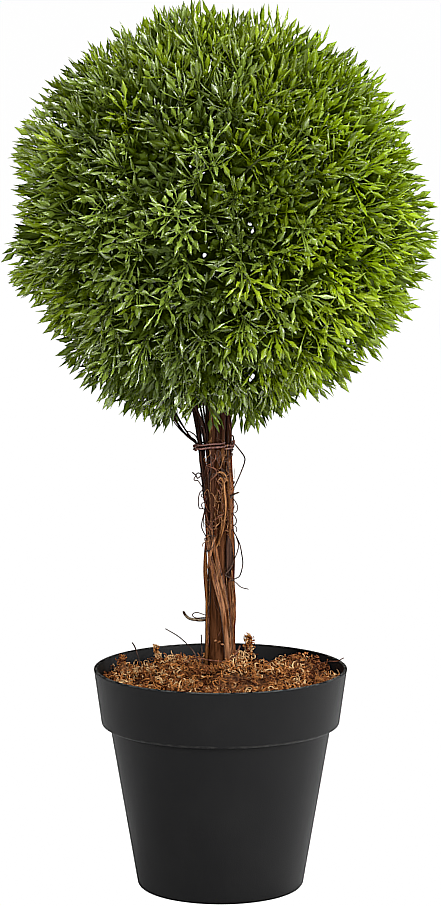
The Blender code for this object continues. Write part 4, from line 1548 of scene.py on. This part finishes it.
@dataclass
class Foliage:
    """The ball: boughs from the head of the trunk, twigs out to every spray, and leaves in stars on the twigs.

    outline holds the hollows and swells of its outline as the front shows them: the direction's x and z, the
    depth in millimetres and the width. sky holds lines of sight through gaps, as the x and z in millimetres where
    each crosses y = 0, and its radius. window holds those that only stay clear in front of the boughs. patches
    holds the hollows and swells on the front: the direction's x and z, and how many steps of green it shifts,
    which also sets its depth. Their darker greens in the hollows are painted shade and their brighter greens on
    the swells painted light. shades holds wider shifts of green, each with its direction: painted shade and light.
    """

    outer_sprays: int = 800
    outer_leaves: int = 13
    inner_sprays: int = 600
    inner_leaves: int = 11
    core_sprays: int = 240
    outer_depth: float = 0.0255
    leaf_length: tuple[float, float] = (0.0180, 0.0265)
    blade_half_width: tuple[float, float] = (0.00130, 0.00215)
    inner_half_width: tuple[float, float] = (0.00240, 0.00370)
    splay: tuple[float, float] = (5.0, 76.0)
    trunk_clearance: float = 0.0125
    bough_count: int = 30
    bough_reach: float = 0.078
    overhang: float = 0.0052
    furthest: float = 0.1560
    outline: tuple[tuple[float, float, float], ...] = (
        (174, -12.0, 0.12), (204, -5.5, 0.15), (240, 5.5, 0.11), (216, -4.5, 0.14), (17.5, -8.0, 0.16), (295, -12.5, 0.17),
        (191.5, 4.5, 0.10), (142, 9.5, 0.19), (195, 3.0, 0.10), (330, 3.0, 0.12), (356, 4.0, 0.15), (45.5, 1.0, 0.16),
        (60, -2.5, 0.15), (314.5, -5.5, 0.15), (105, 3.5, 0.12), (122, -3.0, 0.08), (180, -2.5, 0.08), (269, -4.5, 0.17),
    )
    patches: tuple[tuple[float, float, float], ...] = (
        (-0.09, -0.42, -3.1), (-0.30, -0.10, -2.8), (0.07, -0.40, -2.5), (0.43, 0.27, -2.1), (0.05, -0.02, -2.0),
        (-0.40, -0.47, -1.6), (-0.36, 0.51, -1.8), (0.03, -0.28, -1.4), (-0.56, -0.23, -1.6), (0.25, 0.53, -1.7),
        (0.39, -0.45, -1.6), (-0.27, 0.28, -1.7), (0.38, -0.61, -1.5), (0.01, 0.53, -1.5), (0.20, 0.05, -1.5),
        (-0.08, -0.23, 2.5), (-0.34, 0.08, 2.3), (0.05, -0.18, 2.0), (0.11, -0.54, 1.7), (0.15, -0.28, 1.7),
        (-0.52, -0.03, 1.6), (0.25, 0.39, 1.6), (-0.27, -0.45, 1.5), (0.04, 0.12, 1.3), (0.26, -0.48, 1.3),
        (-0.02, 0.38, 1.3), (0.39, -0.25, 1.3), (-0.20, 0.10, 1.1), (-0.54, 0.48, 1.0), (0.60, -0.42, 1.0),
        (0.26, -0.32, 1.0),
    )
    patch_depth: float = 0.0041
    patch_rise: float = 0.0010
    patch_width: float = 0.110
    shades: tuple[tuple[tuple[float, float, float], float], ...] = (
        ((-0.50, -0.70, 0.50), -1.15),
        ((-0.90, -0.40, 0.00), 1.00),
        ((0.38, -0.73, 0.57), -0.85),
        ((0.62, -0.70, -0.36), 1.80),
        ((0.00, -0.35, -0.94), -0.90),
    )
    sky: tuple[tuple[float, float, float], ...] = (
        (-105.2, 527.8, 1.0),
        (28.0, 584.9, 0.7),
        (-20.5, 500.0, 0.5),
        (-11.8, 495.2, 0.4),
        (21.7, 456.1, 0.8),
        (-10.9, 439.7, 1.15),
        (22.2, 356.7, 0.9),
        (20.2, 354.0, 0.7),
        (-12.5, 332.3, 1.2),
        (-9.5, 330.6, 1.0),
        (-14.9, 325.3, 0.8),
        (-13.0, 320.4, 0.8),
        (-20.6, 326.2, 0.8),
        (16.1, 328.4, 0.7),
    )
    window: tuple[tuple[float, float, float], ...] = (
        (-13.5, 331.0, 4.0),
        (-15.5, 324.0, 4.5),
        (-13.5, 317.0, 5.0),
        (-20.5, 314.0, 3.5),
    )

    def reach(self, way: Array, rng: np.random.Generator) -> Array:
        """How far from the ball's middle the leaf tips may reach in each direction.

        It is the radius and the overhang, plus for each row of the outline its depth times exp(-(d / width)^2 - (y / 0.5)^2), d
        being the distance between the two directions as seen from the front, plus for each of a few seeded
        directions its own depth times exp(-(d / 0.3)^2), plus the depths of the patches near it.
        """
        flat = unit(way[:, [0, 2]])
        dent = np.zeros(len(way))
        for bearing, depth, width in self.outline:
            turn = math.radians(bearing)
            across = ((flat - np.array([math.cos(turn), math.sin(turn)])) ** 2).sum(-1) / width**2
            dent += depth / 1000 * np.exp(-across - (way[:, 1] / 0.5) ** 2)
        lumps = even_directions(18, 0.3, rng)
        apart = ((way[:, None] - lumps[None]) ** 2).sum(-1)
        dent += (rng.uniform(-0.0055, 0.0030, 18) * np.exp(-apart / 0.09)).sum(-1)
        steps = np.array(self.patches)[:, 2]
        dent += self.near_patches(way) @ (steps * np.where(steps < 0, self.patch_depth, self.patch_rise))
        return np.minimum(BALL_RADIUS + self.overhang + dent, self.furthest)

    def near_patches(self, way: Array) -> Array:
        """How near each direction is to each patch: exp(-(d / patch_width)^2), d being the distance between them."""
        table = np.array(self.patches)
        front = -np.sqrt(1 - table[:, 0] ** 2 - table[:, 1] ** 2)
        places = np.stack([table[:, 0], front, table[:, 1]], -1)
        apart = ((way[:, None] - places[None]) ** 2).sum(-1)
        return np.exp(-apart / self.patch_width**2)

    def spray_set(self, count: int, leaves: int, depth: tuple[float, float], inner: bool, rng: np.random.Generator) -> Sprays:
        """Sprays spread evenly over the ball at a depth under its reach, each tilted and dealt a green."""
        way = even_directions(count, 0.045 if not inner else 0.10, rng)
        axes = unit(way + rng.normal(0, 0.15, way.shape))
        radius = self.reach(way, np.random.default_rng(SEED)) - rng.uniform(*depth, count)
        nodes = BALL_CENTRE + way * radius[:, None]
        clear = np.hypot(nodes[:, 0] + 0.0014, nodes[:, 1]) > 0.014
        keep = clear | (nodes[:, 2] > 0.352)
        width = self.inner_half_width if inner else self.blade_half_width
        greens = self.deal_greens(way, inner, rng) * len(Cast) + self.deal_casts(way, inner)
        return Sprays(nodes, axes, leaves, width, greens).chosen(keep)

    def deal_greens(self, way: Array, inner: bool, rng: np.random.Generator) -> Array:
        """A green for each spray, painted light and shade: brighter towards the upper right, darker below, at the left
        and inside.
        """
        # Painted shade: the inner sprays only get the three darkest greens.
        if inner:
            light = 0.15 + 0.65 * way[:, 0] + 0.60 * way[:, 2] + rng.normal(0, 0.5, len(way))
            return np.clip(np.round(light), 0, 2).astype(int)
        light = 2.82 + 0.30 * way[:, 0] + 0.36 * way[:, 2] + rng.normal(0, 0.82, len(way))
        # Painted shade and light: the patches' hollows darker, their swells brighter, and the shades' wider shifts.
        light += 0.6 * self.near_patches(way) @ np.array(self.patches)[:, 2]
        for place, more in self.shades:
            light += more * np.exp(-((way - np.array(place)) ** 2).sum(-1) / 0.20)
        return np.clip(np.round(light), 1, len(Green) - 1).astype(int)

    def deal_casts(self, way: Array, inner: bool) -> Array:
        """A cast for each spray, by place, give or take a seeded step.

        The front is cool, its bluer green a painted sheen, and it is warmer inside and towards both sides and the back.
        """
        lean = -0.25 + 1.15 * np.abs(way[:, 0] + 0.3) + 1.0 * (1 + way[:, 1])
        lean += 0.35 * way[:, 0] + 1.0 * inner
        lean += np.random.default_rng(SEED).normal(0, 0.35, len(way))
        return np.clip(np.round(lean), 0, len(Cast) - 1).astype(int)

    def grow(self, sprays: Sprays, rng: np.random.Generator) -> tuple[Leaves, Array]:
        """Leaves on every spray.

        Leaf i of n leaves the twig at an angle from its axis that grows from the first splay to the last as i / n,
        turned by the golden angle from the leaf before, and rooted lower on the twig the wider it splays. It is cut
        to the length at which its tip meets the ball's surface.

        Args:
            sprays: the sprays.
            rng: the source of all variation.

        Returns:
            The leaves, and each one's green.
        """
        count, each = len(sprays.nodes), sprays.leaves
        index = np.arange(each)[None]
        share = (index + rng.uniform(0, 1, (count, each))) / each
        splay = np.radians(self.splay[0] + (self.splay[1] - self.splay[0]) * share**0.95)
        turn = rng.uniform(0, math.tau, (count, 1)) + index * math.pi * (3 - math.sqrt(5))
        turn = turn + rng.normal(0, 0.25, (count, each))
        axis = np.repeat(sprays.axes[:, None], each, axis=1)
        spare = np.eye(3)[np.argmin(np.abs(sprays.axes), axis=1)]
        across = unit(np.cross(sprays.axes, spare))[:, None]
        beyond = np.cross(sprays.axes[:, None], across)
        out = np.cos(turn)[..., None] * across + np.sin(turn)[..., None] * beyond
        ahead = unit(np.cos(splay)[..., None] * axis + np.sin(splay)[..., None] * out)
        ahead = unit(ahead + rng.normal(0, 0.07, ahead.shape))
        upper = unit(np.cos(splay)[..., None] * out - np.sin(splay)[..., None] * axis)
        twist = rng.normal(0, 0.65, (count, each))[..., None]
        face = unit(-np.cos(twist) * upper + np.sin(twist) * np.cross(ahead, upper))
        root = sprays.nodes[:, None] - axis * (0.010 * share + rng.uniform(0, 0.003, share.shape))[..., None]
        total = count * each
        fold = rng.uniform(0.35, 0.85, total) * rng.choice([-1, 1], total, p=[0.7, 0.3])
        leaves = Leaves(
            root.reshape(total, 3),
            ahead.reshape(total, 3),
            face.reshape(total, 3),
            rng.uniform(*self.leaf_length, total),
            rng.uniform(*sprays.half_width, total),
            rng.normal(0.06, 0.08, total),
            fold,
        )
        self.trim(leaves, rng)
        greens = np.repeat(sprays.greens, each)
        points = leaves.points_at(np.linspace(0, 1, 17))
        spare = self.spare(points, self.sky, False)
        leaves.widths = np.minimum(leaves.widths, spare)
        keep = self.clear_of_trunk(points) & (leaves.lengths > 0.012)
        keep &= (spare > 0.0005) & (self.spare(points, self.window, True) > 0)
        return leaves.chosen(keep), greens[keep]

    def trim(self, leaves: Leaves, rng: np.random.Generator) -> None:
        """Shortens leaves to the ball.

        A leaf from p along d meets the sphere of radius R at -p.d + sqrt((p.d)^2 - p.p + R^2), with p measured from
        the ball's middle. R is the reach in the direction of its tip, a little short at random.
        """
        offset = leaves.roots - BALL_CENTRE
        way = unit(offset + leaves.lengths[:, None] * leaves.ahead)
        limit = self.reach(way, np.random.default_rng(SEED)) * rng.uniform(0.962, 1.0, len(way))
        along = dot(offset, leaves.ahead)[:, 0]
        room = along**2 - dot(offset, offset)[:, 0] + limit**2
        leaves.lengths = np.minimum(leaves.lengths, -along + np.sqrt(np.maximum(room, 0)))

    def clear_of_trunk(self, points: Array) -> Array:
        """True for a leaf that doesn't cross the bundle under the ball."""
        away = np.hypot(points[..., 0] + 0.0014, points[..., 1])
        return ((away > self.trunk_clearance) | (points[..., 2] > 0.345)).all(axis=1)

    def spare(self, points: Array, sights: tuple, in_front: bool) -> Array:
        """The room between each path and the nearest line of sight.

        A point's distance from a line of sight is the length of (point - eye) x the line's unit direction.

        Args:
            points: points along the paths as [path, step, xyz].
            sights: x and z in millimetres where each line crosses y = 0, and its radius.
            in_front: whether only points nearer to the eye than the bundle count.

        Returns:
            The least distance less the line's radius, for each path.
        """
        table = np.array(sights) / 1000
        lines = unit(np.stack([table[:, 0], np.zeros(len(table)), table[:, 1]], -1) - EYE)
        apart = np.linalg.norm(np.cross((points - EYE)[:, :, None], lines), axis=-1) - table[:, 2]
        if in_front:
            apart = np.where(points[..., 1:2] < -0.008, apart, 1.0)
        return apart.min(axis=(1, 2))

    def boughs(self, rng: np.random.Generator) -> Array:
        """Bough paths that fan out of the trunk's head.

        Each is a quadratic curve: a (1 - t)^2 + 2 b t (1 - t) + c t^2, from a on the trunk's head, by b above it,
        to c at the bough's reach from the ball's middle.
        """
        share = np.linspace(0, 1, 18)[None, :, None]
        way = even_directions(self.bough_count, 0.08, rng)
        start = np.array([-0.0014, 0.0, STEM_TOP_Z - 0.004]) + rng.normal(0, 1, way.shape) * [0.004, 0.004, 0]
        end = BALL_CENTRE + way * self.bough_reach
        middle = start + np.array([0, 0, 1.0]) * (0.030 + 0.045 * rng.uniform(size=(self.bough_count, 1)))
        middle = 0.7 * middle + 0.3 * end
        paths = start[:, None] * (1 - share) ** 2 + 2 * middle[:, None] * share * (1 - share) + end[:, None] * share**2
        return paths[self.spare(paths, self.sky, False) > 0.0022]

    def twig_paths(self, boughs: Array, sprays: Sprays) -> Array:
        """Twigs from the nearest bough out to each spray, on the same quadratic curve as the boughs."""
        ends = boughs[:, 6:].reshape(-1, 3)
        gap = np.linalg.norm(sprays.nodes[:, None] - ends[None], axis=-1)
        start = ends[np.argmin(gap, axis=1)]
        end = sprays.nodes + sprays.axes * 0.001
        middle = 0.5 * (end - sprays.axes * 0.030) + 0.5 * (start + end) / 2
        share = np.linspace(0, 1, 7)[None, :, None]
        return start[:, None] * (1 - share) ** 2 + 2 * middle[:, None] * share * (1 - share) + end[:, None] * share**2

    def build(self, rng: np.random.Generator) -> None:
        """Makes the boughs, the twigs and the leaves, each green a piece of its own."""
        depth = self.outer_depth
        sets = [
            self.spray_set(self.outer_sprays, self.outer_leaves, (depth - 0.005, depth + 0.010), False, rng),
            self.spray_set(self.inner_sprays, self.inner_leaves, (0.029, 0.052), True, rng),
            self.spray_set(self.core_sprays, self.inner_leaves, (0.062, 0.098), True, rng),
        ]
        boughs = self.boughs(rng)
        radii = 0.0021 * np.linspace(1.1, 0.6, boughs.shape[1])[None] * np.ones((len(boughs), 1))
        settle(round_limbs(boughs, radii, 8).to_object("crown_boughs", BLACK_BARK), "bark", "foliage_ball")
        twigs, grown = [], []
        for sprays, sides, shape in zip(sets, (4, 3, 3), (FINE_LEAF, PLAIN_LEAF, PLAIN_LEAF)):
            paths = self.twig_paths(boughs, sprays)
            fine = np.linspace(0, 1, 25)
            dense = np.stack([np.stack([np.interp(fine, np.linspace(0, 1, 7), axis) for axis in path.T], -1) for path in paths])
            keep = self.spare(dense, self.sky, False) > 0.0007
            thick = rng.uniform(0.0006, 0.0009, (int(keep.sum()), 1)) * np.linspace(1.2, 0.8, 7)[None]
            twigs.append(round_limbs(paths[keep], thick, sides))
            grown.append((*self.grow(sprays.chosen(keep), rng), shape))
        settle(Surface.joined(twigs).to_object("crown_twigs", TWIG), "leaf")
        finishes = [green.value.cast(cast) for green in Green for cast in Cast]
        for index, finish in enumerate(finishes):
            some = [(leaves.chosen(greens == index), shape) for leaves, greens, shape in grown if index in greens]
            parts = [leaves.surface(shape) for leaves, shape in some]
            if parts:
                settle(Surface.joined(parts).to_object(finish.name + "_sprays", finish), "leaf")


# The studio


@dataclass
class Studio:
    """The pale floor, the soft lights and the camera."""

    camera_tilt: float = 8.05
    lens: float = 140.46
    crispness: float = 0.15
    curve_steps: tuple[float, ...] = (0.0, 0.06, 0.12, 0.2, 0.3, 0.42, 0.55, 0.7, 0.85, 1.0)
    floor_size: float = 160.0

    def build_floor(self) -> None:
        """A wide flat floor."""
        half = self.floor_size / 2
        corners = np.array([(-half, -half, 0), (half, -half, 0), (half, half, 0), (-half, half, 0)], float)
        floor = Surface(corners, np.array([[0, 1, 2, 3]])).to_object("floor", FLOOR)

    def build_camera(self) -> None:
        """The camera in front, looking along +Y and a little down."""
        data = bpy.data.cameras.new("camera")
        data.lens = self.lens
        data.sensor_width = 36.0
        data.clip_end = 300.0
        camera = bpy.data.objects.new("camera", data)
        camera.location = tuple(EYE)
        camera.rotation_euler = (math.radians(90 - self.camera_tilt), 0, 0)
        bpy.context.scene.collection.objects.link(camera)
        bpy.context.scene.camera = camera

    def build_light(self, name: str, place: tuple[float, float, float], size: float, power: float) -> None:
        """A round soft light that faces the middle of the plant."""
        data = bpy.data.lights.new(name, "AREA")
        data.shape = "DISK"
        data.size = size
        data.energy = power
        light = bpy.data.objects.new(name, data)
        light.location = place
        aim = np.array([0.0, 0.0, 0.36]) - np.array(place)
        flat = math.hypot(aim[0], aim[1])
        light.rotation_euler = (math.atan2(flat, -aim[2]), 0, math.atan2(aim[1], aim[0]) - math.pi / 2)
        bpy.context.scene.collection.objects.link(light)

    def build_world(self, strength: float, seen: float) -> None:
        """An even white surround.

        Args:
            strength: the light that it casts.
            seen: how bright it looks beyond the floor.
        """
        world = bpy.data.worlds.new("studio")
        world.use_nodes = True
        tree = world.node_tree
        cast = tree.nodes["Background"]
        shown = tree.nodes.new("ShaderNodeBackground")
        for background, power in ((cast, strength), (shown, seen)):
            background.inputs["Color"].default_value = (1.0, 1.0, 1.0, 1.0)
            background.inputs["Strength"].default_value = power
        path = tree.nodes.new("ShaderNodeLightPath")
        mixed = tree.nodes.new("ShaderNodeMixShader")
        tree.links.new(path.outputs["Is Camera Ray"], mixed.inputs["Fac"])
        tree.links.new(cast.outputs[0], mixed.inputs[1])
        tree.links.new(shown.outputs[0], mixed.inputs[2])
        tree.links.new(mixed.outputs[0], tree.nodes["World Output"].inputs["Surface"])
        bpy.context.scene.world = world

    def build(self) -> None:
        """Sets the stage."""
        self.build_floor()
        self.build_camera()
        self.build_world(0.18, 1.0)
        self.build_light("key", (2.1, -1.8, 1.45), 1.5, 99.0)
        self.build_light("left", (-1.8, -1.9, 1.6), 0.45, 31.0)
        self.build_light("top", (0.6, 0.6, 2.7), 0.9, 58.0)
        self.build_light("front", (-0.4, -2.6, 1.6), 0.35, 37.0)
        self.build_light("rim", (2.3, 0.6, 0.45), 0.5, 15.0)
        self.build_picture()

    def build_picture(self) -> None:
        """Plain colours, and a crisp print: a sharpened picture with a little more contrast."""
        scene = bpy.context.scene
        scene.view_settings.view_transform = "Standard"
        scene.cycles.use_denoising = True
        scene.use_nodes = True
        tree = scene.node_tree
        tree.nodes.clear()
        layers = tree.nodes.new("CompositorNodeRLayers")
        encode = self.curve(tree, [(value**2.2, value) for value in self.curve_steps])
        sharp = tree.nodes.new("CompositorNodeFilter")
        sharp.filter_type = "SHARPEN"
        sharp.inputs["Fac"].default_value = self.crispness
        decode = self.curve(tree, [(value, value**2.2) for value in self.curve_steps])
        output = tree.nodes.new("CompositorNodeComposite")
        chain = (layers, encode, sharp, decode, output)
        for before, after in zip(chain, chain[1:]):
            tree.links.new(before.outputs["Image"], after.inputs["Image"])

    def curve(self, tree: bpy.types.NodeTree, stops: list[tuple[float, float]]) -> bpy.types.Node:
        """A tone curve through the stops, level beyond white."""
        made = tree.nodes.new("CompositorNodeCurveRGB")
        made.mapping.extend = "HORIZONTAL"
        points = made.mapping.curves[3].points
        points[0].location = stops[0]
        points[1].location = stops[-1]
        for stop in stops[1:-1]:
            points.new(*stop)
        made.mapping.update()
        return made


def main() -> None:
    """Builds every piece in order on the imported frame."""
    logging.basicConfig(level=logging.INFO, format="%(name)s: %(message)s")
    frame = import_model()
    Studio().build()
    bundle = Bundle()
    boughs = Boughs()
    Pot().build()
    frame["nodes"]["pot_filler"].material_slots[0].material = PLASTER.material()
    MossBed().build(np.random.default_rng(SEED))
    bundle.build(np.random.default_rng(SEED + 1))
    boughs.build()
    Tie().build(bundle, boughs)
    Tendrils().build(np.random.default_rng(SEED + 2))
    Foliage().build(np.random.default_rng(SEED + 3))


if __name__ == "__main__":
    main()
